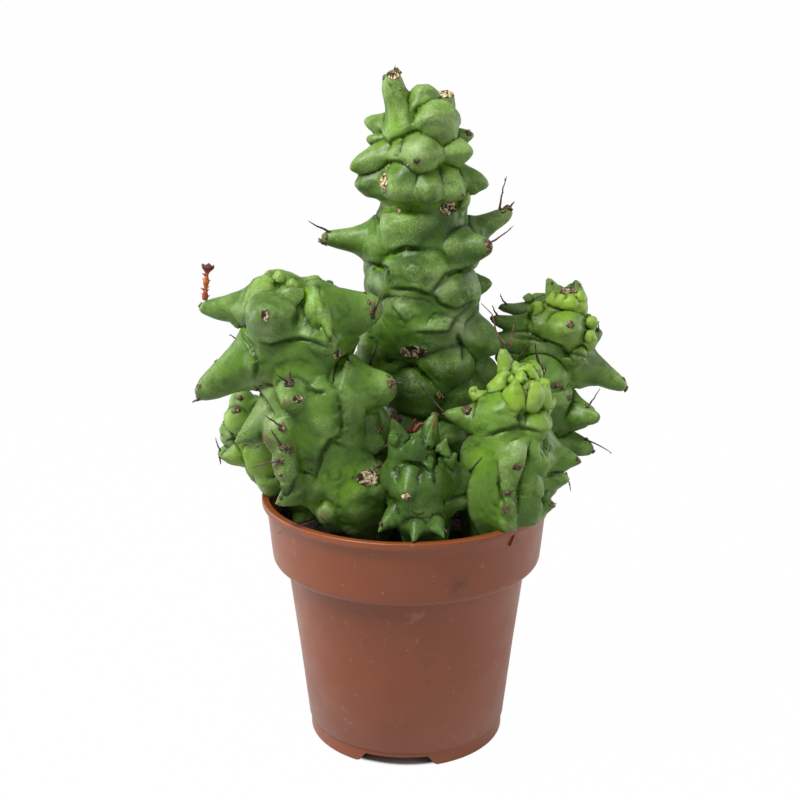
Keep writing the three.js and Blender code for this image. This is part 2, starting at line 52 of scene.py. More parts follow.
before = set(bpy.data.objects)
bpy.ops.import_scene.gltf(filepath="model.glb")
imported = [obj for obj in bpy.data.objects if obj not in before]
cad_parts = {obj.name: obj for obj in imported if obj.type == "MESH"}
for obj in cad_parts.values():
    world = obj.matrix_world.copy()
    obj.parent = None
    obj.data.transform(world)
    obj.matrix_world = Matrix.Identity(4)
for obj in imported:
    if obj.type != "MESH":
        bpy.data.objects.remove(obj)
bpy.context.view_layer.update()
POT_LOW, POT_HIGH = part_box("pot")
POT_AXIS = Vector(((POT_LOW.x + POT_HIGH.x) / 2, (POT_LOW.y + POT_HIGH.y) / 2, 0))
MM = 0.001
# From millimetres round the pot's axis to the frame's metres
TO_FRAME = Matrix.Translation(POT_AXIS) @ Matrix.Scale(MM, 4)


def linear(red, green, blue):
    """A screen colour from 0 to 255 as the linear colour that a shader takes."""
    return [
        value / 255 / 12.92 if value <= 10 else ((value / 255 + 0.055) / 1.055) ** 2.4
        for value in (red, green, blue)
    ]


# Stems, in millimetres from the pot's axis

# How a tooth tapers, how blunt its end is, how its root flares, how flat it is from side to side,
# how deep it hangs and how it bends upward. BOSS and SWELL differ so that they can fold differently.
Form = namedtuple("Form", "taper blunt flare flat sag bend")
HORN = Form(0.45, 12, 1, 1, 0.3, 1.5)
TOOTH = Form(0.52, 10, 0.35, 0.98, 0.5, 1.3)
FIN = Form(0.5, 9, 0.3, 0.55, 0.5, 1.2)
EDGE = Form(0.25, 9, 0.2, 0.4, 0.3, 1.2)
LEAF = Form(0.45, 3, 0.2, 0.5, 0.2, 1.4)
SPIKE = Form(0.8, 6, 0.4, 0.85, 0.45, 1.2)
FINGER = Form(0.3, 12, 0.5, 1, 0, 1.8)
LOBE = Form(0.08, 2.4, 0, 1, 0.1, 1.4)
BUD = Form(0.42, 3.4, 0.1, 0.95, 0.2, 1.4)
BOSS = Form(0, 2, 0.1, 1.15, 0.9, 1)
SWELL = Form(0, 2, 0.1, 1.15, 0.91, 1)
REAR_FORMS = [TOOTH, BOSS, TOOTH, BUD]

# Height on the axis, bearing, reach, rise, girth, form and spine length
Tooth = namedtuple("Tooth", "height bearing reach rise girth form spine")
# Heights from and to, step, teeth in a storey, arc of bearings, reach past the core, girth, spine
# length and seed
Rule = namedtuple("Rule", "low high step count first last beyond girth spine seed")

# By stem: the skin's finest step, the height of a tight waist, the axis as places and the core's
# radius, the teeth in view, the fine growth as the pixels and depths of its root and tip, its girth
# and its form, and the rules for the back
STEMS = {
    "stem_tall": {
        "grain": 0.0007,
        "waist": 224.2,
        "axis": [
            (9, 11, 70, 9), (10, 12, 97, 13.5), (10, 12, 120, 17), (9.5, 12, 154, 20),
            (7.2, 10, 180, 19.6), (6, 8, 203, 19.4), (6, 7, 219, 18.6), (6, 7, 222.8, 18.2),
            (6, 6.5, 224.2, 13), (6, 6, 225.6, 17.6), (5.5, 5, 234, 15), (5, 4, 250, 13),
            (6, 4, 261, 9), (7, 4, 266, 4),
        ],
        "teeth": [
            (247, 200, 12.5, 28, 6.8, FINGER, 0), (252.5, 165, 23, 3, 6, BUD, 0),
            (247, 180, 21, 2, 3.8, BUD, 0), (246, 194, 28.5, -8, 6, LOBE, 0),
            (235, 192, 26, -3, 7.6, TOOTH, 0), (246, 240, 17, -3, 6, LOBE, 0),
            (246, 271, 22.5, -3, 8.2, LOBE, 0), (245, 326, 24, 0, 7.2, BUD, 0),
            (252, 310, 17, 8, 9.4, LOBE, 0), (255, 280, 4, 13.4, 6.4, LOBE, 0),
            (255, 10, 12.4, 11.2, 5.4, LOBE, 0), (248, 0, 21, 2.5, 4.8, BUD, 0),
            (237, 354, 27, -6, 7, BUD, 0), (238, 279, 23, -9, 7.4, BUD, 0),
            (237, 243, 21.5, -5, 8.2, LOBE, 0), (238, 312, 24, -9, 7.4, BUD, 0),
            (228, 16, 20, -4, 5, LOBE, 0),
            (217, 240, 20.5, 1, 6.5, BOSS, 0), (209.7, 186, 40.4, 0.4, 5.9, HORN, 11),
            (206.3, 10, 37.2, 13.4, 5.8, HORN, 13), (208.6, 325, 33, 0, 7.3, TOOTH, 11),
            (199, 262, 23, 1, 10, BOSS, 0), (194, 207, 23.6, -1, 8.6, BOSS, 0),
            (190, 314, 25.5, 1, 10.4, BOSS, 0), (191, 2, 28, 0, 5.4, BUD, 0),
            (183, 250, 24.5, 1, 9.6, BOSS, 0), (177, 284, 25, 1, 7.6, BOSS, 0),
            (175, 210, 26.5, 0, 9, BOSS, 0), (180, 336, 33, -14, 9.6, LOBE, 0),
            (162, 294, 25, 0, 9, BOSS, 0), (152, 250, 26, 2, 9.4, TOOTH, 0),
            (157, 208, 26, 1, 8.4, BOSS, 0), (148, 316, 25, 0, 9, BOSS, 0),
            (157, 352, 28.5, -2, 7.2, BOSS, 0), (160, 186, 31, -2, 7.6, BOSS, 0),
            (134, 230, 26, -1, 9, TOOTH, 8), (130, 290, 23, 0, 8, BOSS, 0),
            (126, 345, 23, 0, 7, TOOTH, 7),
        ],
        "fine": [((376, 344), 2, (361, 345), -2, 7, BOSS), ((461, 200), -2, (470, 203), -2, 4, LOBE)],
        "rules": [
            Rule(108, 212, 17.5, 3, 40, 150, 11.5, 9, 9, 11),
            Rule(231, 256, 12, 3, 50, 150, 9, 6.6, 0, 12),
        ],
    },
    "stem_left_front": {
        "grain": 0.00066,
        "axis": [
            (-19, -18, 70, 9), (-20, -20, 97, 13.5), (-21.5, -21, 110, 16), (-27, -22, 134, 18.5),
            (-34, -24, 152, 18.5), (-41, -25, 164, 17.5), (-45, -24, 176, 16.5),
            (-47, -22, 187, 14), (-47, -20, 195, 9.5), (-47, -20, 200, 4.5),
        ],
        "teeth": [
            (188.9, 172, 34, -3.2, 7, TOOTH, 0), (188, 205, 12.6, 8.5, 8, LOBE, 0),
            (186, 285, 14, 11, 5.6, LOBE, 0), (193, 140, 5, 7, 4.8, LOBE, 0),
            (188.4, 342, 16, 4.2, 6.4, LOBE, 0), (190, 45, 18, 7, 4.6, BUD, 0),
            (187, 255, 24.5, 1, 7.6, BOSS, 0), (189, 314, 26.6, -14, 7.4, TOOTH, 0),
            (183.8, 356, 37.2, 4.6, 12.4, TOOTH, 9), (175.6, 186, 37, -22, 9.8, TOOTH, 0),
            (161.5, 258, 26, -5, 5.6, TOOTH, 9), (157, 348, 34, 1, 11, TOOTH, 10),
            (155, 212, 35, -16, 10.4, SPIKE, 0), (144, 328, 26.6, -7, 8.6, SPIKE, 0),
            (145, 227, 31, -3, 9, EDGE, 9), (135, 226, 32, -4, 9, EDGE, 9),
            (129, 226, 35, -13, 9, SPIKE, 0), (120, 304, 24, 0, 12, BOSS, 0),
            (113, 246, 25, -2, 7, FIN, 10), (112, 322, 21, 0, 9, BOSS, 0),
            (148, 272, 20.6, 0, 13, SWELL, 0), (126, 266, 21.4, 0, 12, SWELL, 0),
        ],
        "fine": [
            ((296, 418), -38, (283, 436), -44, 5.0, EDGE), ((296, 440), -38, (281, 455), -46, 5.0, EDGE),
            ((296, 464), -38, (281, 474), -47, 4.6, EDGE), ((297, 480), -39, (282, 489), -47, 4.2, EDGE),
            ((277, 283), -28, (280, 270), -27, 2.4, LOBE), ((315, 290), -24, (320, 278), -22, 2.2, SPIKE),
            ((326, 290), -18, (330, 281), -16, 2.6, LOBE), ((312, 288), -26, (330, 341), -41, 4, EDGE),
            ((293, 308), -29, (292, 278), -33, 4.2, LOBE),
        ],
        "rules": [Rule(107, 178, 17, 3, 22, 150, 10.2, 8.8, 9, 21)],
    },
    "stem_left_rear": {
        "axis": [
            (-40, 2, 70, 5), (-43, 2, 97, 6.6), (-47, 0, 107, 8), (-55, -2, 117, 8.6),
            (-61, -3, 127, 8), (-65, -3, 137, 7), (-67, -3, 145, 5.6), (-67, -3, 150, 3),
        ],
        "teeth": [
            (129, 172, 13.6, 5, 5.6, EDGE, 6), (126, 188, 17.2, -3, 4.5, FIN, 7),
            (142, 245, 9, -6, 4.8, LOBE, 0), (124, 280, 12, 2, 6, TOOTH, 0),
            (114, 240, 11.4, 0, 4.6, TOOTH, 7), (136, 330, 10, 2, 4.6, BUD, 0),
        ],
        "fine": [
            ((248, 404), 0, (258, 397), 0, 3.4, LOBE), ((232, 436), -4, (221, 424), -5, 2.4, SPIKE),
            ((236, 445), -4, (222, 436), -6, 2.4, SPIKE), ((240, 450), -6, (221, 459), -8, 3, SPIKE),
        ],
        "rules": [Rule(108, 140, 11, 2, 30, 140, 7, 5.6, 7, 31)],
    },
    "stem_front": {
        "axis": [
            (7, -34, 70, 6), (7, -38, 97, 6.6), (6, -40, 108, 7.6), (4, -40, 120, 9.2),
            (3, -39, 131, 9.4), (3, -38, 137, 7), (3, -38, 141, 3),
        ],
        "teeth": [
            (132, 198, 9.4, 17, 4.6, LEAF, 0), (132, 15, 7.6, 17, 4.8, LEAF, 0),
            (134, 272, 9, 8, 3.6, LOBE, 0), (125, 205, 12.5, -1, 6.5, SWELL, 0),
            (125, 300, 12.5, 0, 6.3, SWELL, 0), (129, 257, 19.6, -7, 5, SPIKE, 0),
            (119, 222, 21, -12, 4.8, SPIKE, 0), (114, 262, 19.4, -9, 5, SPIKE, 0),
            (117, 300, 19, -11, 4.6, SPIKE, 0), (127, 4, 23, -5, 9, FIN, 0),
            (114, 6, 21.4, 1, 6, LEAF, 0), (116, 268, 13, 0, 8, SWELL, 0),
        ],
        "fine": [
            ((445, 460), -42, (459, 453), -43, 2.6, SPIKE), ((440, 452), -42, (447, 437), -43, 2.6, SPIKE),
            ((398, 440), -44, (388, 434), -44, 2.2, LEAF), ((428, 447), -44, (432, 425), -42, 2.6, LEAF),
        ],
        "rules": [Rule(106, 130, 12, 2, 45, 150, 7, 6, 7, 41)],
    },
    "stem_right_front": {
        "axis": [
            (29, -20, 70, 7), (34, -24, 97, 12.4), (37, -26, 108, 14.6), (39, -27, 122, 15.6),
            (40, -27, 134, 14.8), (42, -26, 144, 12), (44, -24, 153, 8), (45, -23, 161, 4.6),
            (45, -23, 165, 2),
        ],
        "teeth": [
            (148, 182, 6, 23.5, 4.4, FINGER, 0), (150, 186, 19, 4, 3.4, BUD, 0),
            (150, 205, 10, 10, 5.2, LOBE, 0), (146, 262, 13, 14, 4.8, LOBE, 0),
            (147, 300, 12, 14, 5.2, LOBE, 0), (149, 340, 12, 11, 4.6, LOBE, 0),
            (149, 3, 14, 2, 4, BUD, 0), (157, 275, 5, 8, 3.6, LOBE, 0),
            (157, 20, 5, 8.5, 3.8, LOBE, 0), (144, 188, 28, 3, 5.8, TOOTH, 9),
            (146, 228, 19, 2, 9, BOSS, 0), (145, 306, 17.5, 0, 6.6, LOBE, 0),
            (132, 264, 19.8, -4, 8, EDGE, 7), (119, 266, 18.6, 0, 12, SWELL, 0),
            (133, 300, 16.6, 0, 8, SWELL, 0), (134, 236, 16.4, 0, 8, SWELL, 0),
            (133, 350, 28.6, -5, 8.8, SPIKE, 9), (131, 206, 18, 1, 7.6, BOSS, 8),
            (118, 268, 22.6, -3, 5, EDGE, 8), (123, 345, 25, -1.4, 6.8, SPIKE, 0),
            (113, 326, 22.6, 0.4, 6.6, SPIKE, 0), (110, 270, 21.6, -3, 5, EDGE, 0),
            (114, 206, 15, 0, 7.4, BOSS, 7),
        ],
        "fine": [
            ((492, 392), -28, (507, 371), -30, 3.8, LOBE), ((514, 374), -27, (515, 361), -27, 2.4, LOBE),
            ((536, 384), -29, (528, 363), -28, 2.3, LOBE), ((523, 386), -32, (522, 371), -32, 2.3, LOBE),
            ((512, 383), -33, (513, 374), -33, 1.7, LOBE), ((515, 409), -37, (515, 379), -38, 3.5, BUD),
            ((527, 410), -36, (534, 381), -37, 3.4, BUD), ((543, 408), -32, (546, 381), -34, 2.6, BUD),
            ((546, 404), -30, (554, 397), -31, 2.2, BUD), ((477, 392), -24, (469, 388), -24, 2.2, BUD),
            ((540, 478), -26, (567, 474), -24, 3.4, SPIKE), ((536, 494), -28, (557, 482), -28, 3, SPIKE),
            ((530, 505), -30, (553, 500), -30, 3, SPIKE), ((516, 446), -40, (517, 467), -47, 5.4, EDGE),
            ((514, 462), -42, (507, 493), -46, 5, EDGE), ((508, 490), -42, (513, 531), -47, 3.8, EDGE),
        ],
        "rules": [Rule(107, 145, 13, 2, 42, 140, 9, 7.6, 8, 51)],
    },
    "stem_right_rear": {
        "axis": [
            (36, 14, 70, 6), (41, 16, 97, 9), (48, 17, 112, 11), (55, 17, 132, 12),
            (58.5, 17, 148, 13), (62, 18, 163, 12.6), (65, 19, 174, 11), (66, 20, 182, 7),
            (66, 20, 186, 3),
        ],
        "teeth": [
            (178, 212, 9, 14, 5, LEAF, 0), (178, 10, 5.6, 12, 4.6, LEAF, 0),
            (177, 248, 11, 8, 4.2, LOBE, 0), (176, 290, 11, 8, 5.6, LOBE, 0),
            (178, 120, 8, 9, 4.4, BUD, 0), (176, 168, 27, 2, 3.8, HORN, 6),
            (171, 196, 31, 5, 4.6, HORN, 6), (177, 140, 16, 5, 4.4, BUD, 0),
            (173, 226, 18, 2, 7, TOOTH, 0), (172, 270, 21.5, 2, 7, BOSS, 0),
            (166, 318, 18, 2, 4.8, LOBE, 0), (171, 342, 13.4, 3, 4.6, LOBE, 0),
            (163.4, 12, 20.2, 4.4, 6.2, TOOTH, 6), (162, 298, 19.5, -1, 4.4, BUD, 0),
            (161.2, 350, 31, -15.4, 7.1, TOOTH, 0), (154, 244, 19.5, -2, 8.6, BOSS, 10),
            (166, 200, 31, 2, 4.8, HORN, 0), (145, 280, 18, -2, 7, BOSS, 7),
            (142, 330, 24.4, -5, 5.4, TOOTH, 9), (136, 318, 31, 2, 6, FIN, 0),
            (127, 334, 27.6, -6, 7, FIN, 11), (124, 262, 17, 0, 7.4, BOSS, 0),
        ],
        "fine": [
            ((553, 303), 12, (552, 291), 11, 1.9, BUD), ((561, 302), 9, (562, 295), 8, 2.0, LOBE),
            ((570, 306), 8, (571, 297), 7, 2.4, LOBE), ((579, 300), 10, (581, 290), 10, 2.2, BUD),
            ((589, 325), 9, (594, 316), 8, 2.8, LOBE), ((588, 338), 6, (592, 332), 5, 3.0, LOBE),
            ((573, 350), 5, (586, 355), 3, 2.8, LOBE), ((535, 312), 12, (538, 302), 9, 3.4, LOBE),
            ((527, 300), 22, (530, 293), 21, 2.4, LOBE), ((520, 352), 16, (497, 358), 12, 5, BOSS),
        ],
        "rules": [Rule(108, 164, 14, 2, 35, 142, 9, 7.6, 8, 61)],
    },
    "stem_rear": {
        "axis": [
            (24, 33, 70, 5), (28, 38, 97, 6.2), (30, 40, 112, 7.6), (31, 41, 130, 7.6),
            (31, 41, 142, 5), (31, 41, 147, 2.4),
        ],
        "teeth": [
            (138, 215, 9, 8, 3.8, BUD, 0), (138, 330, 10, 9, 3.8, BUD, 0),
            (130, 280, 12, 3, 5.4, TOOTH, 0), (117, 294, 11, 2, 4.5, TOOTH, 6),
        ],
        "rules": [Rule(106, 134, 12, 2, 20, 160, 7.4, 5.6, 7, 71)],
    },
}

# How quickly a tooth's flared root narrows
FLARE_POWER = 4
# Where a tooth starts, as a share of the way to where it leaves the core, and its girth there
BURIED_SHARE, BURIED_GIRTH = 0.45, 0.75
# How deep a tooth is above its line, against its radius
UPPER_SIDE = 0.9
# The share of the core's radius at which a tooth counts as out, and the limits of that place
CORE_SHARE = 0.9
LEAVES_FROM, LEAVES_TO = 0.15, 0.82
# What is drawn for each rear tooth, as its least value and its span
REAR_REACH = (0.65, 0.6)
REAR_GIRTH = (0.85, 0.3)
REAR_RISE = (-1.6, 4)
REAR_HEIGHT = (-2.5, 5)
REAR_BEARING = (-5, 10)
# Where a tooth stands in its share of the arc, in even and in odd storeys
REAR_PLACES = (0.25, 0.75)
REAR_BOSS_REACH = 0.6
# A rear tooth keeps clear of the soil: this many girths fit between the soil and its seat
SOIL_TOP, REAR_DROP = 95, 1.8
TOOTH_SEED, SPINE_SEED = 7919, 104729

# The photograph's camera, in millimetres from the pot's axis, with its focal length and its picture
# in pixels and its sensor in millimetres
EYE = Vector((-2.7, -515, 288))
TILT_DOWN = math.radians(15.6)
FOCUS = 1308
IMAGE_SIDE = 800
SENSOR_WIDTH = 36
# The nearest and the farthest that it sees, in metres
NEAREST_SEEN, FARTHEST_SEEN = 0.01, 30


def draws(seed):
    """A seeded run of numbers from 0 to 1."""
    state = seed
    while True:
        state = (state * 16807) % 2147483647
        yield state / 2147483647


def smooth_step(low, high, value):
    """0 below low, 1 above high and a smooth rise between them."""
    share = np.clip((value - low) / (high - low), 0, 1)
    return share * share * (3 - 2 * share)


def axis_at(axis, height):
    """The axis's place and the core's radius at each height."""
    rows = np.array(axis, float)
    return [np.interp(height, rows[:, 2], rows[:, column]) for column in (0, 1, 3)]


def rear_teeth(axis, rule):
    """The teeth of the side that faces away, in storeys that step by half a place."""
    run = draws(rule.seed * TOOTH_SEED)

    def within(pair):
        return pair[0] + pair[1] * next(run)

    pitch = (rule.last - rule.first) / rule.count
    teeth = []
    for storey in range(int((rule.high - rule.low) / rule.step + 1e-6) + 1):
        height = rule.low + storey * rule.step
        for place in range(rule.count):
            bearing = rule.first + pitch * (place + REAR_PLACES[storey % 2]) + within(REAR_BEARING)
            past = rule.beyond * within(REAR_REACH)
            rise = within(REAR_RISE)
            form = REAR_FORMS[int(next(run) * len(REAR_FORMS))]
            seat = height + within(REAR_HEIGHT)
            girth = min(rule.girth * within(REAR_GIRTH), (seat - SOIL_TOP) / REAR_DROP)
            past, spine = (past * REAR_BOSS_REACH, 0) if form is BOSS else (past, rule.spine)
            reach = float(axis_at(axis, height)[2]) + past
            teeth.append(Tooth(seat, bearing, reach, rise, girth, form, spine))
    return teeth


def all_teeth(stem):
    """The placed teeth of a stem, and those that its rules put at the back."""
    placed = [Tooth(*row) for row in stem["teeth"]]
    return placed, [tooth for rule in stem["rules"] for tooth in rear_teeth(stem["axis"], rule)]


class ToothLine:
    """The curve that a tooth follows from the stem's axis, or from its own root, to its tip."""

    def __init__(self, axis, tooth, root=None):
        x, y, radius = axis_at(axis, tooth.height) if root is None else (root[0], root[1], 0.0)
        turn = math.radians(tooth.bearing)
        self.tooth = tooth
        self.base = np.array([x, y, tooth.height], float)
        self.outward = np.array([math.cos(turn), math.sin(turn), 0])
        along = self.at(1) - self.at(0)
        self.along = along / np.linalg.norm(along)
        self.side = np.array([-self.outward[1], self.outward[0], 0])
        self.up = np.cross(self.along, self.side)
        share = radius * CORE_SHARE / math.hypot(tooth.reach, tooth.rise)
        self.emerges = min(max(share, LEAVES_FROM), LEAVES_TO)
        self.buried = self.emerges * BURIED_SHARE

    def at(self, share):
        """The places on the curve at shares of its length."""
        share = np.asarray(share, float)[..., None]
        rise = share ** self.tooth.form.bend * self.tooth.rise
        return self.base + self.outward * self.tooth.reach * share + np.array([0, 0, 1]) * rise

    def past(self, share):
        """How far a share is along the part that stands out of the core."""
        return np.clip((share - self.emerges) / (1 - self.emerges), 0, 1)

    def radius(self, share):
        """The tooth's radius at shares of its length."""
        form, past = self.tooth.form, self.past(share)
        body = (1 - form.taper * past) * np.sqrt(np.maximum(0, 1 - past**form.blunt))
        grown = self.tooth.girth * (body + form.flare * (1 - past) ** FLARE_POWER)
        depth = np.clip((share - self.buried) / (self.emerges - self.buried), 0, 1)
        return grown * (BURIED_GIRTH + (1 - BURIED_GIRTH) * depth) * np.sqrt(1 - (1 - depth) ** 4)

    def depth(self, over, share):
        """How much deeper the tooth is than its radius, above and below its line."""
        below = 1 + self.tooth.form.sag * (1 - self.past(share))
        return np.where(over < 0, below, UPPER_SIDE)


def fine_lines(stem):
    """The small growth that only the skin has, placed by the photograph's pixels."""
    lines = []
    for root, back, tip, tip_back, girth, form in stem.get("fine", ()):
        start, end = place_at(root, back), place_at(tip, tip_back)
        bearing = math.degrees(math.atan2(end.y - start.y, end.x - start.x))
        reach = max(0.01, (end - start).xy.length)
        tooth = Tooth(start.z, bearing, reach, end.z - start.z, girth, form, 0)
        lines.append(ToothLine(None, tooth, start))
    return lines


# Small helpers for meshes


def new_piece(name, mesh, material, node, slot):
    """Adds a piece that rides on the frame's one body and takes the given finish. The slot is not used."""
    piece = bpy.data.objects.new(name, mesh)
    bpy.context.scene.collection.objects.link(piece)
    mesh.materials.append(material)
    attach(piece, "root")
    if node:
        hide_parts(node)


def shade_faces(mesh, smooth):
    """Shades all faces smooth or flat."""
    mesh.polygons.foreach_set("use_smooth", [smooth] * len(mesh.polygons))


def as_mesh(bm, name):
    """Turns a finished bmesh into a mesh as it stands."""
    mesh = bpy.data.meshes.new(name)
    bm.to_mesh(mesh)
    bm.free()
    return mesh


def mesh_of(bm, name, smooth=True):
    """Turns a finished bmesh, in millimetres from the pot's axis, into a mesh in the frame."""
    bmesh.ops.transform(bm, matrix=TO_FRAME, verts=bm.verts)
    mesh = as_mesh(bm, name)
    shade_faces(mesh, smooth)
    return mesh


def applied(mesh, kind, **settings):
    """A copy of a mesh with one modifier applied to it."""
    holder = bpy.data.objects.new("holder", mesh)
    bpy.context.scene.collection.objects.link(holder)
    modifier = holder.modifiers.new("shape", kind)
    for key, value in settings.items():
        setattr(modifier, key, value)
    depsgraph = bpy.context.evaluated_depsgraph_get()
    made = bpy.data.meshes.new_from_object(holder.evaluated_get(depsgraph))
    bpy.data.objects.remove(holder)
    return made


def spun(rows, steps):
    """A turned shape round +Z, from rows of radius and height."""
    bm = bmesh.new()
    line = [bm.verts.new((radius, 0, height)) for radius, height in rows]
    edges = [bm.edges.new(pair) for pair in zip(line, line[1:])]
    bmesh.ops.spin(
        bm, geom=line + edges, axis=(0, 0, 1), cent=(0, 0, 0), dvec=(0, 0, 0),
        angle=2 * math.pi, steps=steps, use_merge=True, use_duplicate=False,
    )
    bmesh.ops.remove_doubles(bm, verts=bm.verts, dist=1e-4)
    bmesh.ops.recalc_face_normals(bm, faces=bm.faces)
    return bm


def pour(part, bm):
    """Adds a small bmesh to a larger one."""
    mesh = as_mesh(part, "part")
    bm.from_mesh(mesh)
    bpy.data.meshes.remove(mesh)


def points_of(mesh):
    """A mesh's vertices as an array."""
    points = np.empty(len(mesh.vertices) * 3, np.float32)
    mesh.vertices.foreach_get("co", points)
    return points.reshape(-1, 3).astype(float)


def normals_of(mesh):
    """A mesh's vertex normals as an array."""
    normals = np.empty(len(mesh.vertices) * 3, np.float32)
    mesh.vertices.foreach_get("normal", normals)
    return normals.reshape(-1, 3).astype(float)


def edges_of(mesh):
    """A mesh's edges as pairs of vertex numbers."""
    edges = np.empty(len(mesh.edges) * 2, np.int32)
    mesh.edges.foreach_get("vertices", edges)
    return edges.reshape(-1, 2)


def neighbour_mean(values, edges):
    """The mean of each vertex's neighbours."""
    count = len(values)
    parts = values.reshape(count, -1)
    ends = np.concatenate([edges[:, 0], edges[:, 1]])
    others = np.concatenate([edges[:, 1], edges[:, 0]])
    shares = np.maximum(np.bincount(ends, minlength=count), 1)
    means = [np.bincount(ends, weights=part[others], minlength=count) / shares for part in parts.T]
    return np.stack(means, axis=1).reshape(values.shape)


def relaxed(values, edges, weight, rounds):
    """Moves values towards their neighbours' mean, by a weight for each."""
    share = weight[:, None] if values.ndim > 1 else weight
    for _ in range(rounds):
        values = values + share * (neighbour_mean(values, edges) - values)
    return values


# How many waves the noise is the sum of
RIPPLE_WAVES = 14


def ripple(points, length, seed):
    """Smooth noise, mostly from -1 to 1, whose swells are about as long as given."""
    run = np.random.default_rng(seed)
    ways = run.normal(size=(RIPPLE_WAVES, 3))
    pace = (2 * math.pi / length) * run.uniform(0.6, 1.5, (RIPPLE_WAVES, 1))
    ways *= pace / np.linalg.norm(ways, axis=1, keepdims=True)
    phases = run.uniform(0, 2 * math.pi, RIPPLE_WAVES)
    return np.sin(points @ ways.T + phases).sum(axis=1) / math.sqrt(RIPPLE_WAVES)


def paint(mesh, name, values):
    """Stores one value a vertex for a material to read."""
    layer = mesh.attributes.new(name, "FLOAT", "POINT")
    layer.data.foreach_set("value", np.ascontiguousarray(values, np.float32))


def search_tree(mesh, points):
    """A tree for finding places on a mesh whose vertices stand at the points."""
    return BVHTree.FromPolygons(points.tolist(), [tuple(face.vertices) for face in mesh.polygons])


def camera_ray(pixel):
    """The way from the camera through a pixel of the photograph."""
    across = (pixel[0] - IMAGE_SIDE / 2) / FOCUS
    down = (pixel[1] - IMAGE_SIDE / 2) / FOCUS
    ahead = Vector((0, math.cos(TILT_DOWN), -math.sin(TILT_DOWN)))
    upward = Vector((0, math.sin(TILT_DOWN), math.cos(TILT_DOWN)))
    return Vector((1, 0, 0)) * across + ahead - upward * down


def place_at(pixel, back):
    """The point behind a pixel at a distance back from the pot's axis."""
    ray = camera_ray(pixel)
    return EYE + ray * ((back - EYE.y) / ray.y)


# The first guess at how far off a skin is from the camera, and how often the guess is bettered
PLANT_OFF, GUESSES = 530.0, 8


def skin_at(pixel, skin):
    """The place and way out of the skin behind a pixel, or where it comes nearest to the ray."""
    ray = camera_ray(pixel).normalized()
    place, normal = skin.ray_cast(EYE, ray)[:2]
    if place:
        return place, normal
    off = PLANT_OFF
    for _ in range(GUESSES):
        place, normal = skin.find_nearest(EYE + ray * off)[:2]
        off = (place - EYE).dot(ray)
    return place, normal


# Materials


def colour(values):
    """A colour with full alpha."""
    return (*values, 1)


# The sockets of a mix of colours
MIX_SHARE, MIX_FIRST, MIX_SECOND, MIX_RESULT = 0, 6, 7, 2


class Nodes:
    """A material's node tree, with a short way to add and join nodes."""

    def __init__(self, name):
        self.material = bpy.data.materials.new(name)
        self.material.use_nodes = True
        self.tree = self.material.node_tree
        self.tree.nodes.clear()
        self.place = self.add("ShaderNodeTexCoord").outputs["Object"]

    def add(self, kind, inputs=None, **settings):
        """Adds a node, sets it up and gives its sockets values or links."""
        made = self.tree.nodes.new(kind)
        for key, value in settings.items():
            setattr(made, key, value)
        for socket, value in (inputs or {}).items():
            if isinstance(value, bpy.types.NodeSocket):
                self.tree.links.new(value, made.inputs[socket])
            else:
                made.inputs[socket].default_value = value
        return made

    def noise(self, size, detail, rough, twist=0.0):
        """Noise whose patches are about size metres across, from 0 to 1."""
        inputs = {
            "Vector": self.place, "Scale": 0.5 / size, "Detail": detail, "Roughness": rough,
            "Distortion": twist,
        }
        return self.add("ShaderNodeTexNoise", inputs).outputs["Fac"]

    def mask(self, name):
        """A value that the mesh holds."""
        return self.add("ShaderNodeAttribute", attribute_name=name).outputs["Fac"]

    def maths(self, operation, first, second):
        """One sum on two values."""
        return self.add("ShaderNodeMath", {0: first, 1: second}, operation=operation).outputs[0]

    def times(self, first, second):
        """The product of two values."""
        return self.maths("MULTIPLY", first, second)

    def between(self, value, low, high, out_low=0.0, out_high=1.0):
        """A value's place between low and high, smoothed and held to its ends."""
        return self.add(
            "ShaderNodeMapRange",
            {"Value": value, "From Min": low, "From Max": high, "To Min": out_low, "To Max": out_high},
            interpolation_type="SMOOTHSTEP",
        ).outputs["Result"]

    def mix(self, share, first, second):
        """A mix of two colours."""
        shades = [
            shade if isinstance(shade, bpy.types.NodeSocket) else colour(shade)
            for shade in (first, second)
        ]
        inputs = {MIX_SHARE: share, MIX_FIRST: shades[0], MIX_SECOND: shades[1]}
        made = self.add("ShaderNodeMix", inputs, data_type="RGBA", clamp_result=True)
        return made.outputs[MIX_RESULT]

    def bump(self, height, distance, strength=1.0, normal=None):
        """Relief from a height, whose full range is distance metres."""
        inputs = {"Height": height, "Distance": distance, "Strength": strength}
        if normal:
            inputs["Normal"] = normal
        return self.add("ShaderNodeBump", inputs).outputs["Normal"]

    def off(self, spot):
        """How many metres each point is from a place."""
        ends = {0: self.place, 1: tuple(spot)}
        return self.add("ShaderNodeVectorMath", ends, operation="DISTANCE").outputs["Value"]

    def near(self, spot, size):
        """A share that falls from 1 at a place to 0 at size metres from it."""
        return self.maths("SUBTRACT", 1.0, self.between(self.off(spot), 0.0, size))

    def finish(self, **inputs):
        """Joins the shader to the output and gives back the material."""
        names = {key.replace("_", " "): value for key, value in inputs.items()}
        shader = self.add("ShaderNodeBsdfPrincipled", names)
        self.add("ShaderNodeOutputMaterial", {"Surface": shader.outputs[0]})
        return self.material
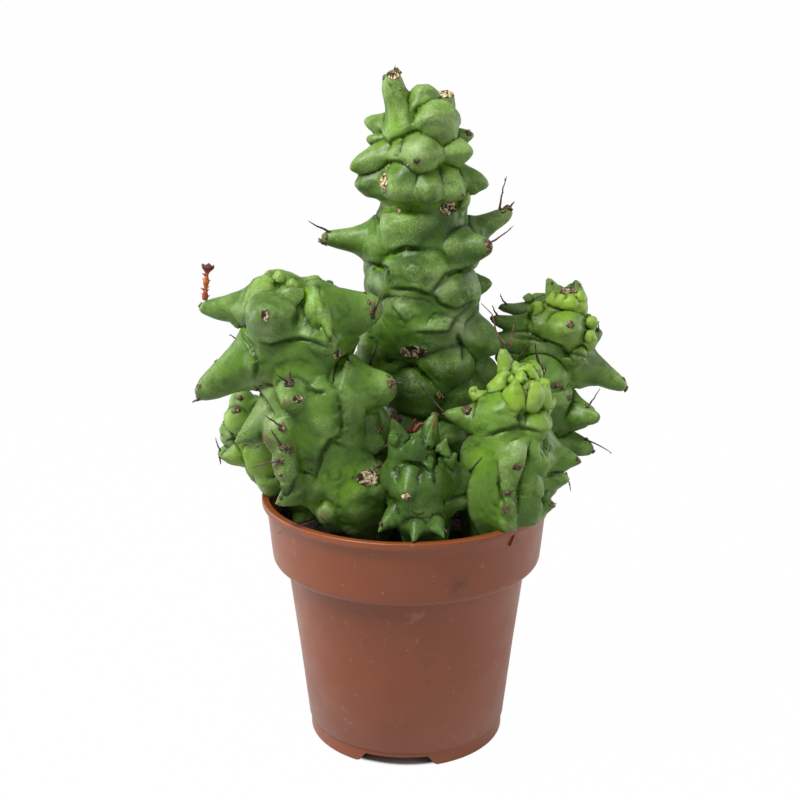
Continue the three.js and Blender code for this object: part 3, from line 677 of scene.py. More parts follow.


# Patches of another shade, as the pixel in the middle of each, its size in millimetres, how strong
# it is, and the name of its colour. The deep green patches are painted shade on the low and inner
# parts of the stems; the pale patches are pale skin and painted highlight on the lit bosses.
TINTS = {
    "stem_tall": (
        ((394, 126), 7, 0.8, "crease_green"), ((372, 128), 5, 0.5, "crease_green"),
        ((405, 222), 9, 0.5, "crease_green"), ((440, 262), 7, 0.5, "crease_green"),
        ((399, 211), 2.5, 0.6, "rusty"), ((420, 238), 14, 0.4, "deep_green_and_shade"),
        ((381, 180), 5, 0.35, "rusty"), ((440, 285), 8, 0.4, "pale_and_highlight"),
        ((412, 268), 9, 0.5, "deep_green_and_shade"), ((378, 285), 6, 0.5, "pale_and_highlight"),
        ((425, 350), 16, 0.5, "deep_green_and_shade"), ((400, 385), 16, 0.7, "deep_green_and_shade"),
        ((440, 385), 16, 0.7, "deep_green_and_shade"), ((462, 330), 14, 0.5, "pale_and_highlight"),
        ((445, 130), 10, 0.3, "pale_and_highlight"), ((415, 145), 9, 0.35, "pale_and_highlight"),
        ((400, 302), 8, 0.45, "pale_and_highlight"), ((438, 118), 8, 0.35, "deep_green_and_shade"),
        ((430, 232), 10, 0.35, "deep_green_and_shade"),
    ),
    "stem_left_front": (
        ((262, 392), 10, 0.5, "pale_and_highlight"), ((266, 415), 10, 0.4, "pale_and_highlight"),
        ((310, 300), 9, 0.8, "crease_green"), ((325, 330), 8, 0.6, "crease_green"),
        ((345, 485), 15, 0.8, "crease_green"), ((310, 455), 12, 0.8, "deep_green_and_shade"),
        ((372, 450), 9, 0.5, "deep_green_and_shade"), ((300, 440), 12, 0.4, "crease_green"),
        ((267, 330), 6, 0.4, "pale_and_highlight"), ((268, 383), 4, 0.5, "rusty"),
        ((350, 330), 10, 0.15, "deep_green_and_shade"), ((255, 360), 6, 0.5, "crease_green"),
        ((300, 500), 12, 0.5, "deep_green_and_shade"), ((300, 400), 7, 0.5, "deep_green_and_shade"),
        ((370, 500), 12, 0.4, "deep_green_and_shade"), ((345, 400), 7, 0.35, "deep_green_and_shade"),
    ),
    "stem_left_rear": (
        ((250, 465), 16, 0.8, "young_green"), ((228, 440), 8, 0.4, "pale_and_highlight"),
        ((238, 402), 8, 0.7, "deep_green_and_shade"),
    ),
    "stem_right_front": (
        ((483, 458), 9, 0.7, "crease_green"), ((500, 400), 10, 0.4, "crease_green"),
        ((540, 395), 8, 0.35, "pale_and_highlight"), ((545, 455), 8, 0.5, "crease_green"),
        ((520, 445), 6, 0.35, "pale_and_highlight"), ((495, 505), 12, 0.4, "crease_green"),
        ((490, 490), 12, 0.4, "deep_green_and_shade"), ((525, 525), 9, 0.6, "deep_green_and_shade"),
        ((485, 530), 9, 0.7, "deep_green_and_shade"),
    ),
    "stem_right_rear": (
        ((528, 322), 7, 0.7, "crease_green"), ((548, 350), 8, 0.4, "pale_and_highlight"),
        ((575, 380), 7, 0.5, "crease_green"), ((590, 360), 10, 0.35, "pale_and_highlight"),
        ((560, 300), 14, 1.0, "young_green"), ((576, 296), 8, 0.6, "young_green"),
        ((556, 325), 11, 0.35, "young_green"), ((512, 312), 12, 0.4, "pale_and_highlight"),
        ((572, 345), 6, 0.5, "young_green"),
    ),
    "stem_front": (
        ((410, 470), 34, 0.75, "deep_green_and_shade"), ((405, 480), 6, 0.3, "crease_green"),
        ((425, 470), 9, 0.7, "deep_green_and_shade"), ((460, 465), 9, 0.5, "deep_green_and_shade"),
    ),
}


def skin_material(name, sizes, look, skin):
    """Waxy green skin: pale bloom on the swellings, bright green in the creases and crowns, painted shade
    in the folds and low hollows, and painted highlight on some bosses.
    """
    n = Nodes(name + "_skin")
    patches = n.noise(0.014, 4, 0.6)
    fine = n.noise(0.0013, 4, 0.65)
    green = n.mix(n.between(patches, 0.36, 0.64), sizes.deep_green_and_shade, sizes.mid_green)
    green = n.mix(look.fresh, green, sizes.fresh_green)
    lush = n.between(patches, 0.1, 0.6, 0.6 * look.young, look.young)
    young = n.times(n.mask("young"), lush)
    green = n.mix(young, green, sizes.young_green)
    crease = n.times(n.mask("crease"), n.between(patches, 0.2, 0.7, 0.45, 1.0))
    green = n.mix(n.times(crease, 0.85), green, sizes.crease_green)
    cloudy = n.between(n.noise(0.007, 5, 0.65), 0.34, 0.64, 0.15, 1.0)
    bloom = n.times(n.times(n.mask("bloom"), cloudy), look.bloom)
    green = n.mix(bloom, green, sizes.bloom_green)
    blotches = n.between(n.noise(0.0028, 4, 0.65), 0.5, 0.68, 0.0, 0.6)
    green = n.mix(blotches, green, sizes.deep_green_and_shade)
    # Mixes in the patches: the deep green ones are painted shade, the pale ones pale skin and painted
    # highlight
    for pixel, size, strength, shade in TINTS.get(name, ()):
        spot = POT_AXIS + skin_at(pixel, skin)[0] * MM
        near = n.times(n.near(spot, size * MM), n.between(cloudy, 0.15, 1.0, 0.5, 1.0))
        green = n.mix(n.times(near, strength), green, getattr(sizes, shade))
    specks = n.between(n.noise(0.00035, 3, 0.7), 0.42, 0.72)
    grains = n.times(specks, n.between(bloom, 0.0, 0.6, 0.07, 0.42))
    green = n.mix(grains, green, sizes.wax)
    # Painted shade: the fold mask darkens the skin along the bottom of each fold
    green = n.mix(n.times(n.mask("fold"), 0.75), green, sizes.fold)
    tip = n.times(n.mask("tip"), n.between(fine, 0.3, 0.6, 0.5, 1.0))
    green = n.mix(tip, green, sizes.tip_brown)
    torn = n.noise(0.0018, 4, 0.7)
    worn = n.maths("ADD", n.mask("cork"), n.between(torn, 0.2, 0.8, -0.35, 0.35))
    cork = n.between(worn, 0.36, 0.46)
    ridges = n.between(n.noise(0.0011, 3, 0.7, 1.0), 0.46, 0.6)
    bark = n.mix(ridges, sizes.cork_dark, sizes.cork_pale)
    bark = n.mix(n.between(worn, 0.42, 0.62, 0.85, 0.0), bark, sizes.cork_dark)
    skin = n.mix(cork, green, bark)
    rough = n.maths("ADD", n.between(bloom, 0.0, 1.0, 0.36, 0.5), n.times(cork, 0.3))
    pores = n.bump(fine, 0.00012, 0.5)
    wrinkles = n.bump(n.noise(0.0045, 3, 0.55), 0.0005, 0.16, pores)
    broken = n.bump(n.times(cork, torn), 0.0012, 0.9, wrinkles)
    return n.finish(
        Base_Color=skin, Roughness=rough, Normal=broken, IOR=1.4, Specular_IOR_Level=0.3,
        Subsurface_Weight=0.08, Subsurface_Radius=(0.4, 1.0, 0.15), Subsurface_Scale=0.0015,
    )


# Marks on the pot, as the pixel, how far back the wall is there and the size, both in millimetres,
# and how dark each is. The last one darkens the torn flap under the lip as painted shade.
MARKS = (
    ((461, 580), -52, 5, 0.7), ((453, 588), -53, 5, 0.6), ((427, 668), -47, 5, 0.4),
    ((430, 684), -46, 3, 0.45), ((507, 694), -18, 2.2, 0.9), ((342, 665), -42, 5, 0.25),
    ((382, 600), -57, 2, 0.3), ((515, 538), -40, 3.4, 0.6),
)


def pot_material(sizes):
    """Moulded brown plastic with faint streaks, dust and scuffs."""
    n = Nodes("pot_plastic")
    cloud = n.noise(0.03, 4, 0.6)
    shade = n.mix(n.between(cloud, 0.3, 0.7), sizes.brown, sizes.brown_light)
    dust = n.between(n.noise(0.0011, 2, 0.5), 0.68, 0.74)
    shade = n.mix(n.times(dust, 0.2), shade, sizes.dust)
    scuff = n.between(n.noise(0.009, 5, 0.75, 0.6), 0.62, 0.7)
    shade = n.mix(n.times(scuff, 0.16), shade, sizes.dust)
    broken = n.between(n.noise(0.002, 4, 0.7), 0.4, 0.6)
    # The last mark is painted shade on the torn flap
    for pixel, back, size, strength in MARKS:
        near = n.near(POT_AXIS + place_at(pixel, back) * MM, size * MM)
        mark = n.times(n.times(near, broken), strength)
        shade = n.mix(mark, shade, sizes.stain)
    rough = n.between(n.noise(0.005, 4, 0.6), 0.3, 0.7, 0.36, 0.48)
    grain = n.bump(n.noise(0.0005, 2, 0.5), 0.00003, 0.5)
    swell = n.bump(n.noise(0.014, 2, 0.5), 0.0004, 0.25, grain)
    return n.finish(
        Base_Color=shade, Roughness=rough, Normal=swell, IOR=1.5, Specular_IOR_Level=0.4,
        Coat_Weight=0.25, Coat_Roughness=0.3,
    )


def soil_material(sizes):
    """Dark damp peat with lighter fibres."""
    n = Nodes("soil_peat")
    crumbs = n.between(n.noise(0.0025, 5, 0.7), 0.35, 0.7)
    shade = n.mix(crumbs, sizes.peat, sizes.peat_light)
    fibres = n.between(n.noise(0.0012, 4, 0.7, 2.0), 0.62, 0.7)
    shade = n.mix(n.times(fibres, 0.6), shade, sizes.fibre)
    relief = n.bump(n.noise(0.0012, 5, 0.75), 0.001, 0.9)
    return n.finish(Base_Color=shade, Roughness=0.95, Normal=relief)


def pad_material(sizes):
    """Hardened brown pads, pale where they are worn."""
    n = Nodes("pad_brown")
    brown = n.between(n.noise(0.0009, 3, 0.65), 0.4, 0.62)
    shade = n.mix(brown, sizes.callus, sizes.callus_mid)
    worn = n.between(n.noise(0.0006, 3, 0.7), 0.56, 0.66, 0.0, 0.85)
    shade = n.mix(worn, shade, sizes.callus_pale)
    grain = n.bump(n.noise(0.0006, 3, 0.6), 0.0003, 0.8)
    return n.finish(Base_Color=shade, Roughness=0.8, Normal=grain)


def stalk_material(sizes):
    """Orange dried stalk that turns dark red in its cup."""
    n = Nodes("stalk_orange")
    pale = n.between(n.noise(0.0015, 3, 0.6), 0.35, 0.65)
    shade = n.mix(pale, sizes.stalk_dark, sizes.stalk)
    shade = n.mix(n.mask("stain"), shade, sizes.red)
    grain = n.bump(n.noise(0.0007, 3, 0.6), 0.0003, 0.8)
    return n.finish(Base_Color=shade, Roughness=0.75, Normal=grain)


def plain_material(name, dark, light, size, roughness, relief):
    """Two shades in patches, with a fine relief."""
    n = Nodes(name)
    shade = n.mix(n.between(n.noise(size, 4, 0.65), 0.35, 0.65), dark, light)
    grain = n.bump(n.noise(size * 0.5, 3, 0.6), relief, 0.7)
    return n.finish(Base_Color=shade, Roughness=roughness, Normal=grain)


# Properties


def shade_property(name, description, values):
    """A colour that a user may change."""
    return FloatVectorProperty(
        name=name, description=description, subtype="COLOR", size=3, min=0, max=1,
        default=linear(*values),
    )


def length_property(name, description, metres):
    """A length that a user may change."""
    return FloatProperty(
        name=name, description=description, subtype="DISTANCE", unit="LENGTH", default=metres
    )


def light_property(name, description, strength):
    """The strength of a light."""
    return FloatProperty(name=name, description=description, default=strength, min=0)


class PotSettings(bpy.types.PropertyGroup):
    """Sizes and colours of the pot."""

    rim_radius: length_property("Rim radius", "Radius over the lip", (POT_HIGH.y - POT_LOW.y) / 2)
    height: length_property("Height", "Height of the lip above the foot", POT_HIGH.z)
    wall: length_property("Wall", "Thickness of the wall", 0.0012)
    sides: IntProperty(name="Sides", description="Faces round the pot", default=180, min=24)
    brown: shade_property("Brown", "Main colour of the plastic", (120, 57, 22))
    brown_light: shade_property("Light brown", "Paler clouds in the plastic", (129, 65, 29))
    dust: shade_property("Dust", "Specks and scuffs", (186, 150, 128))
    # Small dark marks, and the painted shade on the torn flap under the lip
    stain: shade_property("Stain", "Small dark marks", (60, 36, 26))


class SoilSettings(bpy.types.PropertyGroup):
    """Sizes and colours of the soil."""

    height: length_property("Height", "Mean height of the soil's surface", 0.093)
    crumbs: IntProperty(name="Crumbs", description="Loose crumbs on the surface", default=900, min=0)
    peat: shade_property("Peat", "Main colour of the soil", (24, 18, 15))
    peat_light: shade_property("Light peat", "Paler crumbs", (52, 38, 30))
    fibre: shade_property("Fibre", "Fibres in the soil", (110, 84, 60))
    perlite: shade_property("Perlite", "White grains", (226, 224, 216))


class StemSettings(bpy.types.PropertyGroup):
    """Fineness and colours of the stems' skin."""

    grain: length_property("Grain", "Size of the smallest step in the skin", 0.0006)
    fullness: FloatProperty(
        name="Fullness", description="How round the swellings are against the packed solids",
        subtype="FACTOR", default=0.95, min=0.5, max=1.2,
    )
    # Older skin, and also the painted shade of the dark patches in TINTS
    deep_green_and_shade: shade_property("Deep green", "Older skin", (40, 70, 16))
    mid_green: shade_property("Mid green", "Main skin", (74, 110, 26))
    fresh_green: shade_property("Fresh green", "Skin of the paler stems", (110, 146, 58))
    young_green: shade_property("Young green", "Crown growth", (130, 164, 40))
    crease_green: shade_property("Crease green", "Bright green in the folds", (96, 138, 6))
    bloom_green: shade_property("Bloom", "Waxy bloom on the swellings", (112, 140, 72))
    # Pale skin, and also the painted highlight of the pale patches in TINTS on lit bosses
    pale_and_highlight: shade_property("Bleached", "Skin bleached by the sun", (158, 172, 128))
    rusty: shade_property("Rusty", "Rusty scuffs", (126, 96, 52))
    wax: shade_property("Wax", "Fine wax grains", (172, 190, 136))
    fold: shade_property("Fold", "Shade at the bottom of a fold", (22, 38, 8))
    tip_brown: shade_property("Tip brown", "Hardened tips", (84, 62, 44))
    cork_dark: shade_property("Dark cork", "Cracks in the corky scars", (50, 36, 20))
    cork_pale: shade_property("Pale cork", "Ridges of the corky scars", (208, 190, 150))


class SpineSettings(bpy.types.PropertyGroup):
    """Sizes and colours of the spines and dried growth."""

    root_radius: length_property(
        "Root radius", "Radius of a spine where it leaves its callus", 0.00055
    )
    dark: shade_property("Dark spine", "Spines", (30, 22, 16))
    dark_light: shade_property("Worn spine", "Worn stretches of the spines", (84, 64, 48))
    twig: shade_property("Twig", "Dried pinkish twigs", (134, 96, 84))
    twig_dark: shade_property("Twig shade", "Darker stretches of the twigs", (72, 46, 38))
    edge: shade_property("Dried edge", "Red dried edges of the front stem's crown", (160, 66, 50))
    callus: shade_property("Callus", "Hard pads under the spines", (46, 34, 22))
    callus_mid: shade_property("Brown callus", "Main colour of the pads", (100, 76, 50))
    callus_pale: shade_property("Pale callus", "Worn edges of the pads", (190, 168, 132))
    stalk: shade_property("Stalk", "Dried orange flower stalk", (182, 98, 50))
    stalk_dark: shade_property("Stalk shade", "Darker stretches of the stalk", (142, 62, 38))
    red: shade_property("Red", "Dried cup of the stalk", (92, 34, 34))


class StageSettings(bpy.types.PropertyGroup):
    """Camera, floor and light."""

    lens: FloatProperty(
        name="Lens", description="Focal length on a 36 mm sensor",
        default=FOCUS / IMAGE_SIDE * SENSOR_WIDTH,
    )
    floor: shade_property("Floor", "Colour of the floor", (255, 255, 255))
    key: light_property("Key", "Power of the main light", 16.0)
    fill: light_property("Fill", "Power of the fill light", 2.0)
    sides: light_property("Sides", "Power of each light at a side", 6.0)
    mirrored: FloatProperty(
        name="Mirrored", description="How bright the reflections see the surroundings",
        default=0.4, min=0, max=1,
    )
    sky: light_property("Sky", "Strength of the surroundings", 0.28)


class PlantSettings(bpy.types.PropertyGroup):
    """All the settings of the plant."""

    pot: PointerProperty(type=PotSettings)
    soil: PointerProperty(type=SoilSettings)
    stem: PointerProperty(type=StemSettings)
    spine: PointerProperty(type=SpineSettings)
    stage: PointerProperty(type=StageSettings)


# Pot

# All in millimetres, and degrees round the axis
LIP_PROUD, LIP_HEIGHT, LIP_ROUND = 1.8, 2.8, 0.5
COLLAR_BOTTOM_HEIGHT, COLLAR_BOTTOM_RADIUS, COLLAR_ROUND = 77, 56, 3.2
BODY_TOP_RADIUS, BODY_MIDDLE_RADIUS, BODY_MIDDLE_HEIGHT = 50, 45.6, 40
FOOT_RADIUS, FOOT_WIDTH, FOOT_ROUND = 41.2, 2.4, 0.6
STEP_HEIGHT, STEP_PROUD, FLOOR_HEIGHT = 6.5, 0.4, 5.6
NOTCH_WIDTH, NOTCH_SLOPE, NOTCH_HEIGHT, NOTCH_CUT = 26, 3.0, 4.6, 0.98
NOTCH_BEARINGS = (24, 144, 264)
DRAIN_COUNT, DRAIN_RADIUS, DRAIN_CIRCLE, DRAIN_DEPTH, DRAIN_SIDES = 6, 3.5, 26, 8, 24
# Faces that meet at more than this stay sharp
SHARP_ANGLE = math.radians(38)


def inner_radius(height, sizes):
    """The radius of the pot's inside at a height."""
    wall = sizes.wall / MM
    body = np.interp(height, [0, COLLAR_BOTTOM_HEIGHT], [FOOT_RADIUS, BODY_TOP_RADIUS])
    levels = [COLLAR_BOTTOM_HEIGHT, sizes.height / MM]
    collar = np.interp(height, levels, [COLLAR_BOTTOM_RADIUS, sizes.rim_radius / MM - LIP_PROUD])
    return np.where(np.asarray(height) < COLLAR_BOTTOM_HEIGHT, body, collar) - wall


def arc(middle, radius, start, end, steps):
    """Points on part of a circle, in degrees, as radius and height."""
    turns = np.radians(np.linspace(start, end, steps))
    return [(middle[0] + radius * math.cos(t), middle[1] + radius * math.sin(t)) for t in turns]


def pot_profile(sizes):
    """The pot's section, from the middle of its floor round its lip to the middle underneath."""
    height, rim, wall = sizes.height / MM, sizes.rim_radius / MM, sizes.wall / MM
    floor, ledge = FLOOR_HEIGHT + wall, COLLAR_BOTTOM_HEIGHT
    levels = (floor, ledge - 1, ledge + 3, height)
    at_floor, under_ledge, over_ledge, at_rim = [float(inner_radius(z, sizes)) for z in levels]
    lip_top, lip_foot = height - LIP_ROUND, height - LIP_HEIGHT
    lip_in, step = rim - LIP_PROUD, FOOT_RADIUS + STEP_PROUD
    foot_in = FOOT_RADIUS - FOOT_WIDTH
    return [
        (0, floor), (DRAIN_CIRCLE - 8, floor), (at_floor - 2, floor), (at_floor, floor + 2),
        (under_ledge, ledge), (under_ledge + 1, ledge + wall),
        (over_ledge - 1, ledge + wall + 0.4), (over_ledge, ledge + 3), (at_rim, height - LIP_ROUND * 2),
        *arc((at_rim + LIP_ROUND, lip_top), LIP_ROUND, 180, 90, 4),
        *arc((rim - LIP_ROUND, lip_top), LIP_ROUND, 90, 0, 5),
        *arc((rim - LIP_ROUND * 0.6, lip_foot + LIP_ROUND * 0.8), LIP_ROUND * 0.6, 0, -90, 4),
        (lip_in + 0.3, lip_foot), (lip_in, lip_foot - 0.4), (lip_in - 0.55, lip_foot - 5),
        (COLLAR_BOTTOM_RADIUS + 0.15, ledge + 4.4),
        *arc((COLLAR_BOTTOM_RADIUS - COLLAR_ROUND, ledge + COLLAR_ROUND), COLLAR_ROUND, 0, -90, 8),
        (BODY_TOP_RADIUS + 1.2, ledge), (BODY_TOP_RADIUS + 0.3, ledge - 0.5),
        (BODY_TOP_RADIUS, ledge - 1.6), (BODY_MIDDLE_RADIUS, BODY_MIDDLE_HEIGHT),
        (step + 0.35, STEP_HEIGHT + 0.5), (step + 0.1, STEP_HEIGHT + 0.15),
        (FOOT_RADIUS + 0.05, STEP_HEIGHT), (FOOT_RADIUS, NOTCH_HEIGHT), (FOOT_RADIUS, FOOT_ROUND * 2),
        *arc((FOOT_RADIUS - FOOT_ROUND, FOOT_ROUND), FOOT_ROUND, 0, -90, 4),
        (foot_in + 0.3, 0), (foot_in, 0.4), (foot_in, NOTCH_HEIGHT), (foot_in - 0.2, FLOOR_HEIGHT),
        (DRAIN_CIRCLE - 8, FLOOR_HEIGHT), (0, FLOOR_HEIGHT),
    ]


def cut_notches(bm):
    """Lifts the foot ring's lower edge in three places, with sloped ends, and nothing above it."""
    for vert in bm.verts:
        reach = math.hypot(vert.co.x, vert.co.y)
        if vert.co.z > NOTCH_HEIGHT - 0.01 or reach < FOOT_RADIUS - FOOT_WIDTH - 1:
            continue
        bearing = math.degrees(math.atan2(vert.co.y, vert.co.x))
        for middle in NOTCH_BEARINGS:
            off = abs((bearing - middle + 180) % 360 - 180)
            along = FOOT_RADIUS * math.sin(math.radians(min(off, 90)))
            share = float(np.clip((NOTCH_WIDTH / 2 + NOTCH_SLOPE - along) / NOTCH_SLOPE, 0, 1))
            if share > 0:
                vert.co.z = max(vert.co.z, NOTCH_HEIGHT * share * NOTCH_CUT)


def drilled(mesh):
    """Cuts the drain holes through the floor."""
    bm = bmesh.new()
    for i in range(DRAIN_COUNT):
        turn = 2 * math.pi * i / DRAIN_COUNT
        x, y = DRAIN_CIRCLE * math.cos(turn), DRAIN_CIRCLE * math.sin(turn)
        bmesh.ops.create_cone(
            bm, cap_ends=True, segments=DRAIN_SIDES, radius1=DRAIN_RADIUS, radius2=DRAIN_RADIUS,
            depth=DRAIN_DEPTH, matrix=Matrix.Translation((x, y, FLOOR_HEIGHT)),
        )
    cutter = bpy.data.objects.new("drains", mesh_of(bm, "drains"))
    bpy.context.scene.collection.objects.link(cutter)
    made = applied(mesh, "BOOLEAN", object=cutter, operation="DIFFERENCE", solver="EXACT")
    bpy.data.objects.remove(cutter)
    return made


# The torn flap under the lip, as its pixel and how far back it is, its radii and its thickness
CHIP_PLACE, CHIP_RADII, CHIP_THICKNESS = ((514, 540), -40.4), (3.4, 3.0), 1.2


class EUPHORBIA_OT_pot(bpy.types.Operator):
    """Builds the nursery pot"""

    bl_idname = "euphorbia.pot"
    bl_label = "Pot"

    def execute(self, context):
        sizes = context.scene.euphorbia.pot
        bm = spun(pot_profile(sizes), sizes.sides)
        cut_notches(bm)
        mesh = drilled(mesh_of(bm, "pot_body"))
        shade_faces(mesh, True)
        mesh.set_sharp_from_angle(angle=SHARP_ANGLE)
        plastic = pot_material(sizes)
        new_piece("pot_body", mesh, plastic, "pot", "pot")
        flap = bmesh.new()
        bmesh.ops.create_cone(
            flap, cap_ends=True, segments=3, radius1=CHIP_RADII[0], radius2=CHIP_RADII[1],
            depth=CHIP_THICKNESS,
        )
        spot = place_at(*CHIP_PLACE)
        outward = Vector((spot.x, spot.y, 0)).normalized()
        turn = outward.to_track_quat("Z", "Y").to_matrix().to_4x4()
        bmesh.ops.transform(flap, matrix=Matrix.Translation(spot) @ turn, verts=flap.verts)
        new_piece("pot_chip", mesh_of(flap, "pot_chip", False), plastic, "pot", "pot")
        return {"FINISHED"}


# Soil


# How deep the bed reaches, its gap to the pot, and the height of its slow swells
SOIL_DEPTH, SOIL_GAP, SOIL_SWELL = 9, 0.3, 0.96
# The soil's fine lumps, as height, length and seed
SOIL_LUMPS = ((0.7, 7, 4), (0.45, 2.6, 5))
PERLITE_GRAINS = 46


def soil_level(x, y):
    """The soil's height over its mean, in millimetres."""
    waves = np.sin(x * 0.21 + 1.3) * np.cos(y * 0.17 - 0.4) + 0.6 * np.sin(x * 0.43 - y * 0.38)
    return SOIL_SWELL * waves


def uneven(points, layers):
    """The height at each point of layers of swells, each given as height, length and seed."""
    return sum(height * ripple(points, length, seed) for height, length, seed in layers)


def scatter(bm, seed, count, sizes, level, spread, shape):
    """Strews small crumbs over the soil."""
    run = np.random.default_rng(seed)
    for _ in range(count):
        reach, turn = spread * math.sqrt(run.uniform(0, 1)), run.uniform(0, 2 * math.pi)
        x, y = reach * math.cos(turn), reach * math.sin(turn)
        size = run.uniform(*sizes)
        place = Matrix.Translation((x, y, level + float(soil_level(x, y)) + size * 0.1))
        spin, tilt = run.uniform(0, 6.3), run.uniform(-0.6, 0.6)
        lean = Matrix.Rotation(spin, 4, "Z") @ Matrix.Rotation(tilt, 4, "X")
        stretch = Matrix.Diagonal((size * run.uniform(*shape), size, size * run.uniform(0.45, 0.8), 1))
        crumb = bmesh.new()
        form = place @ lean @ stretch
        made = bmesh.ops.create_icosphere(crumb, subdivisions=1, radius=1, matrix=form)["verts"]
        for vert in made:
            vert.co += Vector(run.uniform(-0.22, 0.22, 3)) * size
        pour(crumb, bm)


class EUPHORBIA_OT_soil(bpy.types.Operator):
    """Builds the soil and the crumbs on it"""

    bl_idname = "euphorbia.soil"
    bl_label = "Soil"

    def execute(self, context):
        sizes, pot = context.scene.euphorbia.soil, context.scene.euphorbia.pot
        level = sizes.height / MM
        edge, under = float(inner_radius(level, pot)) - SOIL_GAP, level - SOIL_DEPTH
        bm = spun([(0, under), (edge - 1.4, under), (edge, level), (0, level)], 96)
        spokes = {
            e for face in bm.faces if face.normal.z > 0.5 for e in face.edges
            if abs(e.verts[0].co.z - e.verts[1].co.z) < 0.01
            and min(v.co.xy.length for v in e.verts) < 1
        }
        bmesh.ops.subdivide_edges(bm, edges=list(spokes), cuts=26, use_grid_fill=True)
        tops = [vert for vert in bm.verts if vert.co.z > level - 1]
        points = np.array([vert.co for vert in tops])
        rise = soil_level(points[:, 0], points[:, 1]) + uneven(points, SOIL_LUMPS)
        for vert, lift in zip(tops, rise):
            vert.co.z += float(lift) * min(1, (edge + 1 - vert.co.xy.length) / 3)
        scatter(bm, 7, sizes.crumbs, (0.5, 1.5), level, edge - 2, (0.8, 2.2))
        mesh = mesh_of(bm, "soil_bed", False)
        new_piece("soil_bed", mesh, soil_material(sizes), "soil", "soil")
        grains = bmesh.new()
        scatter(grains, 9, PERLITE_GRAINS, (0.5, 1.3), level + 0.5, edge - 2, (0.8, 1.3))
        white = plain_material("perlite", sizes.perlite, linear(200, 196, 184), 0.0008, 0.8, 0.0002)
        new_piece("soil_grains", mesh_of(grains, "soil_grains", False), white, None, "soil")
        return {"FINISHED"}


# Stems

# The forms that fold less sharply against the skin above them
FOLDING = {EDGE: 0.0, SWELL: 0.0, BOSS: 0.5}
# How far from a meeting of two swellings their skin still swells to fill it, below a tooth
FILLET = 11.0
# The same above a tooth, where a sharp fold stays
CRISP_FILLET = 5.0
# The folds above a tooth, as the depth and half width of a narrow and of a wide part
FOLD_PARTS = ((0.8, 0.8), (0.5, 1.8))
# The skin's unevenness, as height, length and seed
SKIN_SWELLS = ((0.16, 14, 21), (0.05, 5, 22))
# Near a stem's waist there is no fillet: how far off one begins, and how far off it is whole
WAIST_CLEAR = (1.6, 4.0)
# A crease: how far off it is felt, how wide its lap, its line of painted shade and its cut are, how
# deep the cut is, and how far the lap stands out above it and sinks below it
CREASE_REACH, CREASE_WIDTHS, CUT_DEPTH = 6, (2.8, 0.9, 0.7), 1.35
LAP_ABOVE, LAP_BELOW = 0.6, -0.3
# How far apart the places are that a crease is read at, in pixels
CREASE_STEP = 0.6
# The roughness of a scar, as height, length and seed
SCAR_ROUGHNESS = ((0.35, 1.7, 31), (0.2, 3.0, 32))


def bell(off, width):
    """1 where off is 0, falling away smoothly over a width."""
    return np.exp(-((off / width) ** 2))


def add_core(bm, axis, fullness):
    """Adds the stem's core, turned round its axis."""
    top = axis[-1]
    heights = np.arange(axis[0][2], top[2], 3.0)
    rows = [(0, axis[0][2])]
    rows += [(float(axis_at(axis, height)[2]) * fullness, float(height)) for height in heights]
    rows += [(top[3] * 0.8, top[2]), (0, top[2] + top[3] * 0.3)]
    core = spun(rows, 40)
    for vert in core.verts:
        x, y, _ = axis_at(axis, vert.co.z)
        vert.co += Vector((float(x), float(y), 0))
    pour(core, bm)


def add_tooth(bm, line, fullness):
    """Adds one tooth, from a ball drawn out along its curve."""
    ball = bmesh.new()
    made = bmesh.ops.create_uvsphere(ball, u_segments=24, v_segments=18, radius=1)["verts"]
    balls = np.array([vert.co for vert in made])
    share = line.buried + (1 - line.buried) * (balls[:, 2] + 1) / 2
    ring = np.maximum(np.hypot(balls[:, 0], balls[:, 1]), 1e-9)
    radius = line.radius(share) * fullness
    across = balls[:, 0] / ring * radius * line.tooth.form.flat
    over = balls[:, 1] / ring * radius
    over *= line.depth(over, share)
    ends = ring < 1e-6
    across[ends], over[ends] = 0, 0
    points = line.at(share) + across[:, None] * line.side + over[:, None] * line.up
    for vert, point in zip(made, points):
        vert.co = point
    pour(ball, bm)


